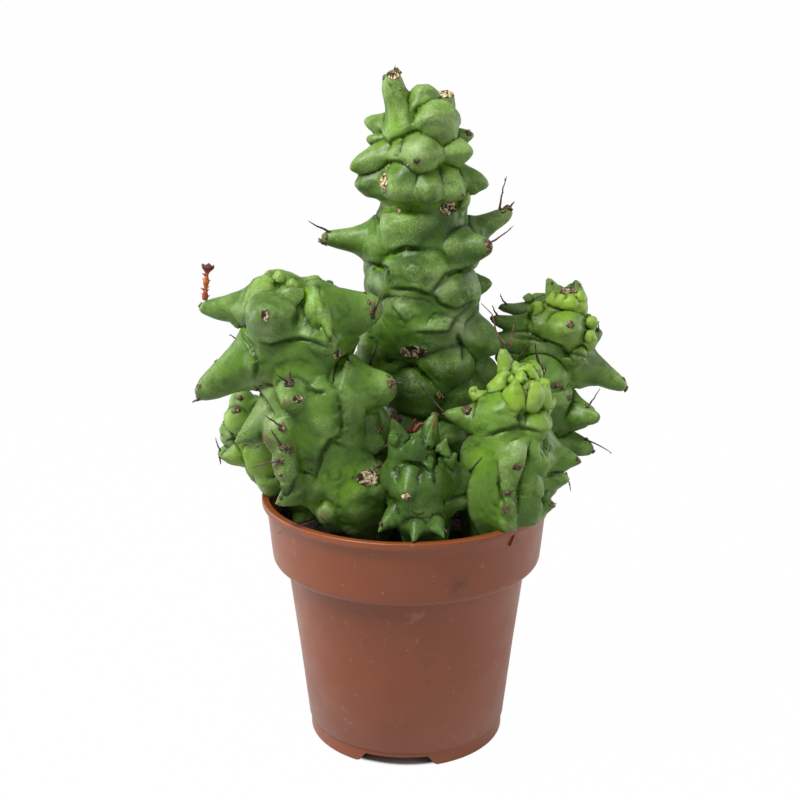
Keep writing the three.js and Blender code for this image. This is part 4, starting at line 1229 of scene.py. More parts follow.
def read_skin(points, axis, lines):
    """For each point, the two nearest swellings: how far off, how far along and how far over."""
    count = len(points)
    x, y, radius = axis_at(axis, points[:, 2])
    core = np.hypot(points[:, 0] - x, points[:, 1] - y) - radius
    near = np.stack([core, np.full(count, 1e3)], axis=1)
    owner = np.full((count, 2), -1)
    share = np.zeros((count, 2))
    over = np.zeros((count, 2))
    for number, line in enumerate(lines):
        steps = np.linspace(line.buried, 1, 20)
        spots = line.at(steps)
        reach = np.linalg.norm(spots[-1] - spots[0]) / 2 + line.tooth.girth * 2.2
        close = np.nonzero(np.linalg.norm(points - (spots[0] + spots[-1]) / 2, axis=1) < reach)[0]
        if not len(close):
            continue
        gaps = points[close][:, None, :] - spots[None]
        best = np.argmin((gaps**2).sum(axis=2), axis=1)
        gap = gaps[np.arange(len(close)), best]
        along = steps[best]
        sideways, above = gap @ line.side, gap @ line.up
        girth = np.maximum(line.radius(np.minimum(along, 0.97)), 0.4)
        reach_out = np.hypot(sideways / line.tooth.form.flat, above / line.depth(above, along))
        off = reach_out - girth
        tips = best == len(steps) - 1
        off[tips] = np.linalg.norm(gap[tips], axis=1) - 0.3
        height = above / girth
        first = off < near[close, 0]
        second = ~first & (off < near[close, 1])
        rows = close[first]
        for kept in (near, owner, share, over):
            kept[rows, 1] = kept[rows, 0]
        near[rows, 0], owner[rows, 0] = off[first], number
        share[rows, 0], over[rows, 0] = along[first], height[first]
        rows = close[second]
        near[rows, 1], owner[rows, 1] = off[second], number
        share[rows, 1], over[rows, 1] = along[second], height[second]
    return near, owner, share, over


def keep_inside(points, pot):
    """Draws in what would cross the pot's wall below its rim."""
    rim = pot.height / MM
    reach = np.hypot(points[:, 0], points[:, 1])
    limit = inner_radius(points[:, 2], pot) - SOIL_GAP
    crossing = (points[:, 2] < rim + SOIL_GAP) & (reach > limit)
    points[crossing, :2] *= (limit[crossing] / reach[crossing])[:, None]
    return points


def grow_skin(name, stem, sizes, pot):
    """The stem's skin as points and a mesh, with its teeth read back from it."""
    placed, hidden = all_teeth(stem)
    lines = [ToothLine(stem["axis"], tooth) for tooth in placed + hidden] + fine_lines(stem)
    bm = bmesh.new()
    add_core(bm, stem["axis"], sizes.fullness)
    for line in lines:
        add_tooth(bm, line, sizes.fullness)
    size = stem.get("grain", sizes.grain) / MM
    mesh = applied(as_mesh(bm, "shells"), "REMESH", mode="VOXEL", voxel_size=size, adaptivity=0)
    points, edges = points_of(mesh), edges_of(mesh)
    near, owner, share, over = read_skin(points, stem["axis"], lines)
    gap = near[:, 1] - near[:, 0]
    folding = np.array([FOLDING.get(line.tooth.form, 1.0) for line in lines] + [0.0])
    crisp = np.max(smooth_step(0.0, 0.45, over) * folding[owner], axis=1)
    even = np.full(len(points), 0.5)
    crisp = relaxed(crisp, edges, even, 3)
    soft = 1 - crisp
    reach = CRISP_FILLET + (FILLET - CRISP_FILLET) * soft
    filled = np.maximum(1 - gap / reach, 0) ** 2 * reach / 4 * 1.25
    away = smooth_step(*WAIST_CLEAR, abs(points[:, 2] - stem.get("waist", 0)))
    filled *= away
    weight = 0.6 * (1 - smooth_step(1.0, 5.0, gap)) * soft**2 * away
    normals = relaxed(normals_of(mesh), edges, even, 6)
    points += normals * filled[:, None]
    points = relaxed(points, edges, even, 2)
    points = relaxed(points, edges, weight, 40)
    normals = shaped(mesh, points)
    fold = crisp * sum(depth * bell(gap, width) for depth, width in FOLD_PARTS)
    points += normals * (uneven(points, SKIN_SWELLS) - fold)[:, None]
    points, fold_seen, cork = marked(name, mesh, points, edges)
    # Where painted shade darkens the bottom of each fold
    folds = np.maximum(fold_seen, crisp * bell(gap, 1.3))
    return mesh, keep_inside(points, pot), edges, lines, (owner, share, folds, cork)


def shaped(mesh, points):
    """Moves a mesh's vertices and gives back its normals."""
    mesh.vertices.foreach_set("co", points.astype(np.float32).ravel())
    mesh.update()
    return normals_of(mesh)


def paint_skin(mesh, points, edges, lines, read, crown):
    """Stores where the skin is creased and darkened with painted shade in its folds, swollen, young, or
    hardened at its tips.
    """
    owner, share, fold, cork = read
    hollow = ((neighbour_mean(points, edges) - points) * shaped(mesh, points)).sum(axis=1)
    whole = np.full(len(points), 0.6)
    narrow = relaxed(hollow, edges, whole, 4)
    wide = relaxed(hollow, edges, whole, 30)
    paint(mesh, "fold", fold)
    crease = smooth_step(0.002, 0.03, wide) + smooth_step(0.02, 0.12, narrow)
    paint(mesh, "crease", np.clip(crease, 0, 1))
    paint(mesh, "bloom", smooth_step(0.0, 0.022, -wide))
    teeth = [line.tooth for line in lines]
    forms = np.array([tooth.form in (LOBE, BUD, FINGER) for tooth in teeth] + [False])
    heights = np.array([tooth.height for tooth in teeth] + [0.0])
    high = smooth_step(crown - 3, crown + 5, heights[owner[:, 0]])
    young = relaxed(forms[owner[:, 0]] * high, edges, whole, 12)
    paint(mesh, "young", young)
    spiny = np.array([tooth.spine > 0 and tooth.form is not BOSS for tooth in teeth] + [False])
    tips = smooth_step(0.93, 1.0, share[:, 0]) * spiny[owner[:, 0]] * 0.7
    paint(mesh, "tip", relaxed(tips, edges, whole, 3))
    paint(mesh, "cork", cork)


# A search tree of each stem's finished skin, which the spines' operator seats its pieces on
SKINS = {}

# Creases that the photograph shows, as pixels along each, whose upper side laps over its lower
CREASES = {
    "stem_tall": (
        ((388, 255), (405, 247), (430, 250)), ((432, 293), (445, 275), (475, 265)),
        ((432, 293), (440, 305), (455, 310), (475, 302)), ((370, 262), (388, 268), (391, 290)),
        ((393, 289), (415, 290), (432, 297)), ((417, 333), (448, 333), (455, 320), (470, 305)),
        ((392, 307), (398, 315), (403, 323)), ((457, 333), (462, 347), (463, 360)),
        ((380, 360), (400, 360), (417, 367), (430, 380), (437, 390)),
    ),
    "stem_left_front": (
        ((346, 448), (331, 441), (323, 452), (318, 468), (313, 484)),
        ((262, 343), (270, 345), (285, 341), (300, 339), (315, 342), (325, 347), (331, 348)),
        ((308, 388), (316, 392), (325, 392)), ((243, 333), (252, 345), (257, 362), (255, 378)),
        ((340, 368), (347, 358), (356, 365)), ((338, 395), (341, 410), (342, 435)),
        ((325, 448), (330, 440), (342, 436)), ((255, 385), (265, 400), (276, 418)),
    ),
    "stem_right_front": (
        ((484, 437), (500, 431), (519, 427), (535, 431), (541, 433)),
        ((497, 462), (499, 485), (504, 508)), ((531, 440), (526, 462), (519, 485), (518, 512)),
        ((519, 427), (519, 415), (523, 408)),
    ),
    "stem_right_rear": (
        ((512, 336), (528, 338), (547, 341), (560, 346), (574, 362)),
        ((532, 326), (529, 316), (532, 308)),
    ),
    "stem_front": (
        ((399, 464), (410, 461), (420, 464), (430, 473)), ((438, 448), (434, 470), (437, 488)),
    ),
}

# Corky scars, as the pixel in the middle of each and half its width and height in millimetres
SCARS = {
    "stem_tall": (
        ((448, 207), 3.8, 2.8), ((413, 352), 5.6, 2.8), ((384, 182), 1.8, 3.6), ((446, 93), 3.4, 2.4),
        ((440, 395), 2.0, 1.6), ((432, 85), 1.4, 1.0), ((399, 211), 0.8, 1.4), ((393, 75), 2.4, 1.6),
    ),
    "stem_left_front": (
        ((337, 354), 2.4, 2.0), ((265, 315), 1.4, 2.4), ((368, 478), 4.2, 3.0), ((298, 399), 2.0, 1.2),
    ),
    "stem_right_front": (((570, 415), 2.6, 1.8),),
    "stem_right_rear": (((568, 292), 3.6, 1.8), ((541, 370), 1.8, 2.2)),
    "stem_front": (((406, 498), 2.4, 1.8),),
}


def seen_places(tree, pixels, step):
    """The points of the skin behind a run of pixels, a step of a pixel apart."""
    places = []
    for start, end in zip(pixels, pixels[1:]):
        count = max(1, int(math.dist(start, end) / step))
        for i in range(count + 1):
            pixel = [a + (b - a) * i / count for a, b in zip(start, end)]
            place = tree.ray_cast(EYE, camera_ray(pixel).normalized())[0]
            if place:
                places.append(place)
    return np.array(places)


def marked(name, mesh, points, edges):
    """Presses the photograph's creases and scars into a stem's skin and tells where they are."""
    tree = search_tree(mesh, points)
    normals = shaped(mesh, points)
    fold, cork = np.zeros(len(points)), np.zeros(len(points))
    for pixels in CREASES.get(name, ()):
        spots = seen_places(tree, pixels, CREASE_STEP)
        if not len(spots):
            continue
        run = KDTree(len(spots))
        for number, spot in enumerate(spots):
            run.insert(spot, number)
        run.balance()
        reach = np.ptp(spots, axis=0).max() + CREASE_REACH
        close = np.linalg.norm(points - spots.mean(axis=0), axis=1) < reach
        for index in np.nonzero(close)[0]:
            spot, number, off = run.find(points[index])
            if off > CREASE_REACH:
                continue
            ends = min(number, len(spots) - 1 - number) / max(1, len(spots) / 5)
            share = min(1.0, 0.25 + ends)
            above = points[index][2] - spot.z
            lap, line, cut = [math.exp(-((off / width) ** 2)) for width in CREASE_WIDTHS]
            lap *= LAP_ABOVE if above > 0 else LAP_BELOW
            # line is where painted shade darkens the crease
            fold[index] = max(fold[index], share * line)
            points[index] += normals[index] * share * (lap - CUT_DEPTH * cut)
    for pixel, wide, high in SCARS.get(name, ()):
        spot = skin_at(pixel, tree)[0]
        away = points - np.array(spot)
        x, y, z = away[:, 0] / wide, away[:, 1] / max(wide, high), away[:, 2] / high
        off = np.sqrt(x**2 + z**2 + y**2)
        cork = np.maximum(cork, 1 - smooth_step(0.7, 1.35, off))
        dent = -0.5 * bell(off, 0.6) + 0.3 * bell(off - 0.95, 0.25)
        rough = uneven(points, SCAR_ROUGHNESS) * (off < 1.4) * np.maximum(0, 1.4 - off)
        points += normals * ((dent + rough) * min(1, high / 2))[:, None]
    even = np.full(len(points), 0.4)
    return points, relaxed(fold, edges, even, 1), relaxed(cork, edges, even, 1)


class EUPHORBIA_OT_stems(bpy.types.Operator):
    """Builds the seven stems"""

    bl_idname = "euphorbia.stems"
    bl_label = "Stems"

    def execute(self, context):
        sizes, pot = context.scene.euphorbia.stem, context.scene.euphorbia.pot
        for name, stem in STEMS.items():
            mesh, points, edges, lines, read = grow_skin(name, stem, sizes, pot)
            paint_skin(mesh, points, edges, lines, read, LOOKS[name].crown)
            SKINS[name] = search_tree(mesh, points)
            mesh.transform(TO_FRAME)
            shade_faces(mesh, True)
            material = skin_material(name, sizes, LOOKS[name], SKINS[name])
            new_piece(name + "_skin", mesh, material, name, name)
        return {"FINISHED"}


# How far each stem's colour leans to the paler fresh green, how much bloom it wears, the height of
# its youngest growth, and how yellow that growth is
Look = namedtuple("Look", "fresh bloom crown young")
LOOKS = {
    "stem_tall": Look(0.1, 0.8, 238, 0.25), "stem_left_front": Look(0.2, 0.6, 186, 0.6),
    "stem_left_rear": Look(0.95, 0.5, 140, 0.6), "stem_front": Look(0.0, 0.25, 150, 0),
    "stem_right_front": Look(0.35, 0.55, 145, 1), "stem_right_rear": Look(0.3, 0.6, 164, 1),
    "stem_rear": Look(0.0, 0.4, 140, 0.5),
}


# Spines and dried growth

# Spines by stem, as the pixels of the foot and the tip, the root's radius in millimetres, and how
# far the tip comes nearer than the foot
SPINES = {
    "stem_tall": (
        ((329, 232), (307, 220), 0.6, 3), ((324, 242), (317, 241), 0.7, 1),
        ((500, 209), (507, 175), 0.5, 2), ((509, 207), (515, 201), 0.7, 1),
        ((489, 243), (514, 225), 0.5, 2), ((489, 250), (492, 252), 0.8, 1),
    ),
    "stem_left_front": (
        ((289, 383), (275, 374), 0.6, 4), ((290, 381), (290, 370), 0.6, 4),
        ((283, 428), (264, 415), 0.6, 4), ((283, 447), (270, 428), 0.6, 3),
        ((280, 461), (248, 469), 0.5, 3), ((373, 317), (382, 293), 0.6, 3),
        ((374, 316), (375, 300), 0.5, 4), ((376, 366), (379, 340), 0.9, 3),
        ((390, 385), (403, 382), 0.6, 3), ((234, 337), (230, 334), 0.4, 1),
        ((197, 402), (192, 403), 0.9, 1), ((372, 312), (377, 306), 0.5, 2),
        ((379, 430), (385, 424), 0.6, 3), ((381, 450), (394, 437), 0.5, 4),
    ),
    "stem_left_rear": (((220, 450), (215, 437), 0.4, 1), ((220, 458), (221, 465), 0.5, 1)),
    "stem_right_front": (
        ((440, 410), (417, 380), 0.5, 3), ((517, 466), (529, 466), 0.5, 4),
        ((570, 470), (571, 492), 0.4, 2), ((507, 493), (516, 503), 0.5, 3),
        ((471, 470), (483, 456), 0.5, 3), ((507, 346), (500, 338), 0.5, 1),
    ),
    "stem_right_rear": (
        ((506, 304), (500, 293), 0.5, 2), ((497, 314), (492, 305), 0.5, 2),
        ((541, 368), (535, 341), 0.9, 4), ((598, 331), (599, 321), 0.4, 1),
        ((586, 440), (613, 454), 0.4, 2), ((589, 403), (601, 387), 0.4, 2),
    ),
    "stem_front": (
        ((414, 543), (414, 547), 0.6, 2), ((382, 523), (380, 525), 0.5, 2),
        ((444, 529), (447, 533), 0.5, 2),
    ),
}

# The stem whose dried growth is red
RED_EDGED = "stem_front"
# Dried pinkish twigs, as the pixels along each, its radius, and how much nearer its tip comes
TWIGS = {
    "stem_tall": (
        ((400, 421), (396, 417), (391, 410), 1.0, 2), ((402, 433), (398, 423), (393, 414), 0.8, 2),
    ),
    "stem_left_front": (((317, 520), (300, 526), (278, 533), 0.35, 6),),
    "stem_right_front": (
        ((507, 346), (497, 335), (492, 314), (481, 303), 0.4, 2),
        ((510, 345), (512, 335), (514, 325), 0.5, 2),
    ),
    "stem_right_rear": (((520, 357), (523, 352), (528, 345), 0.5, 2),),
    "stem_front": (
        ((408, 433), (399, 426), (391, 415), 0.9, 1), ((410, 432), (413, 424), (415, 419), 0.8, 1),
        ((414, 431), (420, 424), (426, 423), 0.8, 1), ((433, 428), (435, 420), (438, 414), 0.4, 1),
    ),
}

# Hard pads and scabs by stem, as the pixel in the middle of each and its radius in millimetres
PADS = {
    "stem_tall": (
        ((399, 70), 1.9), ((384, 77), 0.9), ((398, 78), 0.5), ((390, 84), 0.6), ((400, 90), 0.4),
        ((432, 85), 0.8), ((468, 133), 1.4), ((408, 165), 0.6), ((417, 161), 1.0), ((463, 196), 0.9),
        ((321, 243), 1.5), ((326, 236), 0.9), ((509, 207), 1.7), ((503, 211), 1.2), ((487, 243), 1.7),
        ((489, 250), 1.1), ((374, 269), 0.7),
    ),
    "stem_left_front": (
        ((365, 293), 0.9), ((369, 302), 0.9), ((372, 312), 1.1), ((194, 401), 1.1), ((199, 386), 1.0),
        ((212, 357), 1.1), ((289, 383), 1.5), ((299, 399), 1.3), ((283, 428), 1.5), ((283, 447), 1.4),
        ((289, 450), 1.4), ((281, 461), 1.2), ((280, 475), 1.0), ((281, 498), 1.0), ((378, 430), 1.2),
        ((376, 368), 1.5), ((390, 384), 1.5), ((388, 376), 0.9), ((199, 304), 1.0), ((382, 452), 1.3),
        ((378, 466), 1.4), ((281, 487), 0.8),
    ),
    "stem_left_rear": (
        ((240, 398), 1.3), ((236, 410), 1.3), ((220, 450), 0.6), ((221, 422), 0.5), ((222, 435), 0.5),
    ),
    "stem_front": (
        ((414, 543), 1.2), ((446, 531), 0.9), ((381, 524), 0.9), ((436, 413), 1.3), ((393, 413), 0.9),
    ),
    "stem_right_front": (
        ((440, 412), 0.9), ((467, 410), 1.8), ((517, 467), 1.6), ((507, 493), 1.4), ((513, 533), 0.9),
        ((505, 510), 1.1), ((577, 459), 1.0), ((553, 505), 1.2),
    ),
    "stem_right_rear": (
        ((552, 283), 0.7), ((580, 285), 0.8), ((561, 292), 0.5), ((574, 291), 0.6), ((500, 308), 0.9),
        ((491, 318), 1.0), ((541, 370), 1.6), ((570, 325), 1.4), ((556, 385), 1.6), ((569, 398), 1.3),
        ((624, 379), 0.9), ((628, 391), 1.1), ((598, 330), 0.8), ((589, 403), 1.7), ((587, 439), 0.8),
        ((596, 454), 0.9), ((562, 388), 0.9),
    ),
}
# How far a rear spine leans upward from its tooth, at least
SPINE_LEAN = 0.5


def kept_shape(make):
    """A small shape that is built once and drawn out many times."""
    bm = bmesh.new()
    make(bm)
    return as_mesh(bm, "shape")


def rod_shape(sides, rings):
    """A closed rod of radius 1 from height 0 to 1, in rings."""

    def make(bm):
        bmesh.ops.create_cone(
            bm, cap_ends=True, cap_tris=True, segments=sides, radius1=1, radius2=1, depth=1,
            matrix=Matrix.Translation((0, 0, 0.5)),
        )
        rising = [e for e in bm.edges if abs(e.verts[0].co.z - e.verts[1].co.z) > 0.5]
        bmesh.ops.subdivide_edges(bm, edges=rising, cuts=rings - 1)

    return kept_shape(make)


def pad_shape():
    """A ball with a few dozen faces."""
    return kept_shape(
        lambda bm: bmesh.ops.create_uvsphere(bm, u_segments=10, v_segments=7, radius=1)
    )


def add_shape(bm, shape, rule):
    """Adds a copy of a kept shape, each of whose points a rule moves."""
    part = bmesh.new()
    part.from_mesh(shape)
    moved = rule(np.array([vert.co for vert in part.verts]))
    for vert, place in zip(part.verts, moved):
        vert.co = place
    bmesh.ops.recalc_face_normals(part, faces=part.faces)
    pour(part, bm)


def cross_ways(way):
    """Two directions square to a way and to each other."""
    way = np.array(way, float)
    way /= np.linalg.norm(way)
    aside = np.cross(way, [0, 0, 1] if abs(way[2]) < 0.9 else [1, 0, 0])
    aside /= np.linalg.norm(aside)
    return way, aside, np.cross(way, aside)


def add_rod(bm, shape, spots, girth):
    """Draws a rod out along a run of places, with a radius for each share of its length."""
    spots = np.array([tuple(spot) for spot in spots], float)
    _, aside, over = cross_ways(spots[-1] - spots[0])
    stations = np.linspace(0, 1, len(spots))

    def rule(points):
        share = points[:, 2]
        middle = np.stack([np.interp(share, stations, spots[:, i]) for i in range(3)], axis=1)
        radius = girth(share)[:, None]
        return middle + (points[:, :1] * aside + points[:, 1:2] * over) * radius

    add_shape(bm, shape, rule)


# How thick a pad is against its width
PAD_FLATNESS = 0.55


def add_pad(bm, shapes, place, normal, size, run):
    """Sets a rough pad half into the skin, with torn ends round it."""
    way, aside, over = cross_ways(normal)
    stretch = run.uniform(0.75, 1.25, 2)
    seed = int(run.integers(1, 9999))

    def rule(points):
        rough = 1 + 0.28 * ripple(points, 1.3, seed)
        points = points * rough[:, None]
        flat = points[:, :1] * aside * stretch[0] + points[:, 1:2] * over * stretch[1]
        return np.array(place) + (flat + points[:, 2:] * way * PAD_FLATNESS) * size

    add_shape(bm, shapes.pad, rule)
    add_slivers(bm, shapes, place, normal, size, run)


# How many places a spine bends at, how deep its foot is sunk, and how far apart its bracts are
SPINE_STATIONS, SPINE_SUNK, BRACT_STEP = 9, 0.6, 3.5


def spine_girth(root):
    """A spine's radius: swollen at its foot, slim along its length, sharp at its tip."""

    def girth(share):
        body = 0.75 * (1 - share) ** 0.8 + 0.5 * bell(share, 0.07)
        return root * body + 0.1 * (share < 0.999)

    return girth


def add_spine(bm, shapes, foot, tip, root, run):
    """Adds a spine that bends a little, and the broken ends of small bracts along it."""
    foot, tip = np.array(foot, float), np.array(tip, float)
    way, aside, over = cross_ways(tip - foot)
    length = np.linalg.norm(tip - foot)
    bow = (aside * run.uniform(-1, 1) + over * run.uniform(-1, 1)) * length * 0.05
    stations = np.linspace(0, 1, SPINE_STATIONS)[:, None]
    kinks = run.normal(0, 0.09, (SPINE_STATIONS, 3)) * (stations > 0.1)
    spots = foot - way * SPINE_SUNK * (1 - stations) + (tip - foot) * stations
    spots = spots + bow * 4 * stations * (1 - stations) + kinks
    add_rod(bm, shapes.rod, spots, spine_girth(root))
    for _ in range(int(length / BRACT_STEP)):
        share = run.uniform(0.2, 0.95)
        start = foot + (tip - foot) * share + bow * 4 * share * (1 - share)
        lean = way * run.uniform(0.3, 1.0) + aside * run.uniform(-1, 1) + over * run.uniform(-1, 1)
        end = start + lean / np.linalg.norm(lean) * run.uniform(0.5, 1.1)
        add_rod(bm, shapes.sliver, (start, end), lambda share: 0.22 * (1 - share) + 0.03)


def add_slivers(bm, shapes, place, normal, size, run):
    """Adds the torn ends that stand up round a pad."""
    way, aside, over = cross_ways(normal)
    for _ in range(int(3 + size * 3)):
        turn, out = run.uniform(0, 2 * math.pi), size * run.uniform(0.2, 0.9)
        start = np.array(place) + (aside * math.cos(turn) + over * math.sin(turn)) * out
        lean = way + (aside * math.cos(turn) + over * math.sin(turn)) * run.uniform(-0.4, 1.2)
        end = start + lean / np.linalg.norm(lean) * size * run.uniform(0.4, 0.9)
        width = size * run.uniform(0.1, 0.22)
        add_rod(bm, shapes.sliver, (start - way * 0.3, end), lambda share: width * (1 - share * 0.8))


Shapes = namedtuple("Shapes", "rod sliver twig pad")
# The root's radius of a common spine, and of the fork beside each rear one
PLAIN_ROOT, FORK_ROOT = 0.55, 0.45


def rear_spines(stem, skin):
    """The pads and spines of the teeth that face away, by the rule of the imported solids."""
    placed, hidden = all_teeth(stem)
    chance = draws(stem["rules"][0].seed * SPINE_SEED)
    for tooth in placed + hidden:
        if not tooth.spine:
            continue
        rise, turn = next(chance), next(chance)
        if tooth in placed:
            continue
        line = ToothLine(stem["axis"], tooth)
        lean = line.along + line.up * SPINE_LEAN * (1 + rise) + line.side * (turn - 0.5)
        seat = line.at(0.95) + line.up * tooth.girth * 0.14
        place, normal = skin.find_nearest(seat)[:2]
        yield place, normal, Vector(lean / np.linalg.norm(lean)), tooth.spine


class EUPHORBIA_OT_spines(bpy.types.Operator):
    """Builds the spines, the pads under them and the dried twigs"""

    bl_idname = "euphorbia.spines"
    bl_label = "Spines"

    def execute(self, context):
        sizes = context.scene.euphorbia.spine
        shapes = Shapes(rod_shape(7, 8), rod_shape(5, 1), rod_shape(7, 12), pad_shape())
        thin = sizes.root_radius / MM / PLAIN_ROOT
        finishes = {
            "spines": plain_material(
                "spine_brown", sizes.dark, sizes.dark_light, 0.0012, 0.5, 0.0001
            ),
            "pads": pad_material(sizes),
            "twigs": plain_material("twig_pink", sizes.twig_dark, sizes.twig, 0.0012, 0.75, 0.0002),
            "edges": plain_material("edge_red", sizes.red, sizes.edge, 0.0012, 0.7, 0.0002),
        }
        for number, (name, stem) in enumerate(STEMS.items()):
            run = np.random.default_rng(100 + number)
            skin = SKINS[name]
            parts = {key: bmesh.new() for key in finishes}
            for foot, tip, root, nearer in SPINES.get(name, ()):
                place, _ = skin_at(foot, skin)
                end = place_at(tip, place.y - nearer)
                add_spine(parts["spines"], shapes, place, end, root * thin, run)
            for pixel, size in PADS.get(name, ()):
                place, normal = skin_at(pixel, skin)
                add_pad(parts["pads"], shapes, place, normal, size, run)
            for *pixels, root, nearer in TWIGS.get(name, ()):
                place, _ = skin_at(pixels[0], skin)
                count = len(pixels) - 1
                spots = [place_at(pixel, place.y - nearer * i / count) for i, pixel in enumerate(pixels)]
                kind = "edges" if name == RED_EDGED else "twigs"
                add_rod(parts[kind], shapes.twig, spots, lambda share: root * (1.1 - 0.75 * share))
            for place, normal, lean, length in rear_spines(stem, skin):
                size = run.uniform(1.0, 1.5)
                add_pad(parts["pads"], shapes, place, normal, size, run)
                end = place + lean * length
                add_spine(parts["spines"], shapes, place, end, PLAIN_ROOT * thin, run)
                fork = (lean + Vector(run.uniform(-0.6, 0.6, 3))).normalized()
                end = place + fork * length * run.uniform(0.4, 0.8)
                add_spine(parts["spines"], shapes, place, end, FORK_ROOT * thin, run)
            for key, bm in parts.items():
                if len(bm.verts):
                    new_piece(f"{name}_{key}", mesh_of(bm, f"{name}_{key}"), finishes[key], None, name)
                else:
                    bm.free()
        return {"FINISHED"}


# Flower stalk

# The pixels along the stalk, and how far back all of it stands
STALK_PIXELS = ((205, 298), (205.5, 288), (206.5, 277), (208, 266))
STALK_BACK = -17.9
# The radii of its cup and of its stem, the share of its length where the cup begins, how deep its
# foot is sunk, and its dried bracts
CUP_RADIUS, STALK_RADIUS, CUP_SHARE = 2.3, 0.95, 0.72
STALK_SUNK, STALK_BRACTS, BRACT_FROM, BRACT_APART = 0.8, 13, 0.06, 0.055
# How far below the cup's edge its red begins and is full
RED_FROM, RED_FULL = 3.2, 0.6


class EUPHORBIA_OT_stalk(bpy.types.Operator):
    """Builds the dried flower stalk on the left stem"""

    bl_idname = "euphorbia.stalk"
    bl_label = "Flower stalk"

    def execute(self, context):
        sizes = context.scene.euphorbia.spine
        run = np.random.default_rng(55)
        spots = [place_at(pixel, STALK_BACK) for pixel in STALK_PIXELS]
        spots[0] = spots[0] - (spots[1] - spots[0]).normalized() * STALK_SUNK
        bm = bmesh.new()

        def girth(share):
            cup = smooth_step(CUP_SHARE, 1.0, share)
            stalk = STALK_RADIUS * (1 + 0.3 * np.sin(share * 15))
            return stalk + (CUP_RADIUS - STALK_RADIUS) * cup**1.6

        add_rod(bm, rod_shape(12, 26), spots, girth)
        top = np.array(spots[-1])
        for vert in bm.verts:
            off = np.array(vert.co) - top
            if vert.co.z > top[2] - 0.6:
                reach = math.hypot(off[0], off[1])
                turn = math.atan2(off[1], off[0])
                teeth = (0.5 * math.sin(turn * 5) + 0.3) * min(1, reach / 2)
                vert.co.z += teeth - 1.3 * max(0, 1 - reach / 1.5)
        sliver, stations = rod_shape(5, 1), np.linspace(0, 1, len(spots))
        for i in range(STALK_BRACTS):
            share = BRACT_FROM + BRACT_APART * i
            start = np.array([np.interp(share, stations, [spot[k] for spot in spots]) for k in range(3)])
            turn = i * 2.4 + run.uniform(-0.3, 0.3)
            out = np.array([math.cos(turn), math.sin(turn), 0.0])
            ends = (start + out * 0.4, start + out * 1.9 + [0, 0, 1.0])
            add_rod(bm, sliver, ends, lambda share: 0.55 * (1 - share) + 0.05)
        points = np.array([vert.co for vert in bm.verts])
        mesh = mesh_of(bm, "stalk_dried")
        paint(mesh, "stain", smooth_step(top[2] - RED_FROM, top[2] - RED_FULL, points[:, 2]))
        new_piece("stalk_dried", mesh, stalk_material(sizes), "flower_stalk", "flower_stalk")
        return {"FINISHED"}


# Stage

# How bright the camera sees the floor and the room, and how bright reflections see the floor
FLOOR_SEEN, ROOM_SEEN, FLOOR_MIRRORED = 0.992, 0.996, 0.4
# The floor under the pot is in its own shade within these radii, in metres, so that no light from
# it shows through the notches
UNDER_POT = (0.038, 0.0405)
FLOOR_HALF, PAPER_WHITE = 6, (0.55, 0.55, 0.55)
# What the lights aim at, and each one's name, place, size and the setting that holds its power
LIT_PLACE = Vector((0, 0, 0.15))
LAMPS = (
    ("key", (-0.45, -0.35, 1.0), 0.5, "key"),
    ("fill", (0.8, -0.6, 0.6), 0.6, "fill"),
    ("left", (-1.0, 0.3, 0.25), 0.8, "sides"),
    ("right", (1.0, 0.3, 0.25), 0.8, "sides"),
)


def floor_material(sizes):
    """White paper that the camera sees evenly lit, but for the dark under the pot."""
    n = Nodes("floor_white")
    paper = n.add("ShaderNodeBsdfDiffuse", {"Color": colour(PAPER_WHITE)}).outputs[0]
    glow = n.add("ShaderNodeEmission", {"Color": colour(sizes.floor), "Strength": 1.0}).outputs[0]
    light = n.add("ShaderNodeLightPath").outputs
    seen = n.times(light["Is Camera Ray"], FLOOR_SEEN)
    seen = n.maths("MAXIMUM", seen, n.times(light["Is Glossy Ray"], FLOOR_MIRRORED))
    seen = n.times(seen, n.between(n.off(POT_AXIS), *UNDER_POT))
    both = n.add("ShaderNodeMixShader", {0: seen, 1: paper, 2: glow})
    n.add("ShaderNodeOutputMaterial", {"Surface": both.outputs[0]})
    return n.material


def surroundings(sizes):
    """A white room, dimmer as a light than as the camera and the reflections see it."""
    world = bpy.data.worlds.new("surroundings")
    world.use_nodes = True
    tree = world.node_tree
    light = tree.nodes.new("ShaderNodeLightPath").outputs
    either = tree.nodes.new("ShaderNodeMath")
    either.operation, either.use_clamp = "MULTIPLY_ADD", True
    tree.links.new(light["Is Glossy Ray"], either.inputs[0])
    either.inputs[1].default_value = sizes.mirrored
    tree.links.new(light["Is Camera Ray"], either.inputs[2])
    strength = tree.nodes.new("ShaderNodeMapRange")
    strength.inputs["To Min"].default_value = sizes.sky
    strength.inputs["To Max"].default_value = ROOM_SEEN
    tree.links.new(either.outputs[0], strength.inputs["Value"])
    tree.links.new(strength.outputs["Result"], tree.nodes["Background"].inputs["Strength"])
    tree.nodes["Background"].inputs["Color"].default_value = (1, 1, 1, 1)
    return world


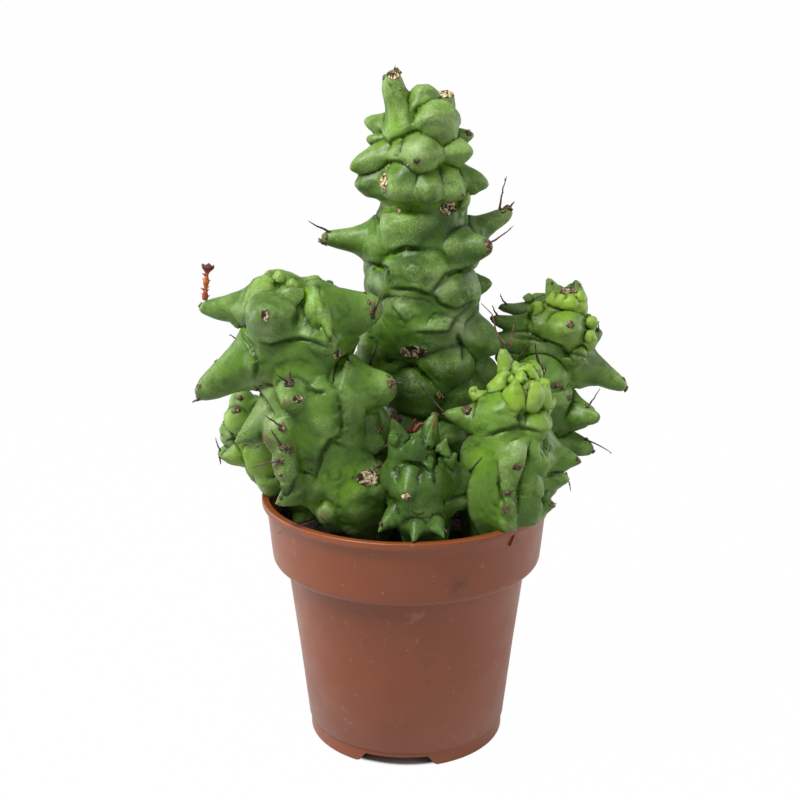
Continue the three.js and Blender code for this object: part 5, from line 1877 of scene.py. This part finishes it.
class EUPHORBIA_OT_stage(bpy.types.Operator):
    """Sets the floor, the lights and the camera"""

    bl_idname = "euphorbia.stage"
    bl_label = "Stage"

    def execute(self, context):
        sizes, scene = context.scene.euphorbia.stage, context.scene
        bm = bmesh.new()
        bmesh.ops.create_grid(bm, x_segments=1, y_segments=1, size=FLOOR_HALF)
        floor = bpy.data.objects.new("floor", as_mesh(bm, "floor"))
        scene.collection.objects.link(floor)
        floor.data.materials.append(floor_material(sizes))
        scene.view_settings.view_transform = "Standard"
        scene.world = surroundings(sizes)
        for name, place, size, power in LAMPS:
            lamp = bpy.data.lights.new(name, "AREA")
            lamp.shape, lamp.size, lamp.energy = "DISK", size, getattr(sizes, power)
            holder = bpy.data.objects.new(name, lamp)
            scene.collection.objects.link(holder)
            holder.location = place
            aim = LIT_PLACE - Vector(place)
            holder.rotation_euler = aim.to_track_quat("-Z", "Y").to_euler()
        camera = bpy.data.cameras.new("camera")
        camera.lens, camera.sensor_width = sizes.lens, SENSOR_WIDTH
        camera.clip_start, camera.clip_end = NEAREST_SEEN, FARTHEST_SEEN
        holder = bpy.data.objects.new("camera", camera)
        scene.collection.objects.link(holder)
        holder.location = POT_AXIS + EYE * MM
        holder.rotation_euler = (math.pi / 2 - TILT_DOWN, 0, 0)
        scene.camera = holder
        return {"FINISHED"}


class EUPHORBIA_PT_panel(bpy.types.Panel):
    """Lists the builders and their settings"""

    bl_label = "Potted Euphorbia"
    bl_idname = "EUPHORBIA_PT_panel"
    bl_space_type = "VIEW_3D"
    bl_region_type = "UI"
    bl_category = "Euphorbia"

    def draw(self, context):
        settings = context.scene.euphorbia
        for operator, group in BUILDERS:
            box = self.layout.box()
            box.operator(operator.bl_idname)
            values = getattr(settings, group)
            for key in values.bl_rna.properties.keys():
                if key not in ("rna_type", "name"):
                    box.prop(values, key)


BUILDERS = (
    (EUPHORBIA_OT_stage, "stage"),
    (EUPHORBIA_OT_pot, "pot"),
    (EUPHORBIA_OT_soil, "soil"),
    (EUPHORBIA_OT_stems, "stem"),
    (EUPHORBIA_OT_spines, "spine"),
    (EUPHORBIA_OT_stalk, "spine"),
)
CLASSES = (
    PotSettings, SoilSettings, StemSettings, SpineSettings, StageSettings, PlantSettings,
    *(operator for operator, _ in BUILDERS), EUPHORBIA_PT_panel,
)


def register():
    """Adds the classes and the scene's settings."""
    for made in CLASSES:
        bpy.utils.register_class(made)
    bpy.types.Scene.euphorbia = PointerProperty(type=PlantSettings)


def unregister():
    """Takes the classes and the settings away."""
    del bpy.types.Scene.euphorbia
    for made in reversed(CLASSES):
        bpy.utils.unregister_class(made)


def main():
    """Builds the whole plant."""
    register()
    for operator, _ in BUILDERS:
        package, name = operator.bl_idname.split(".")
        getattr(getattr(bpy.ops, package), name)()
    bpy.context.view_layer.update()


if __name__ == "__main__":
    main()
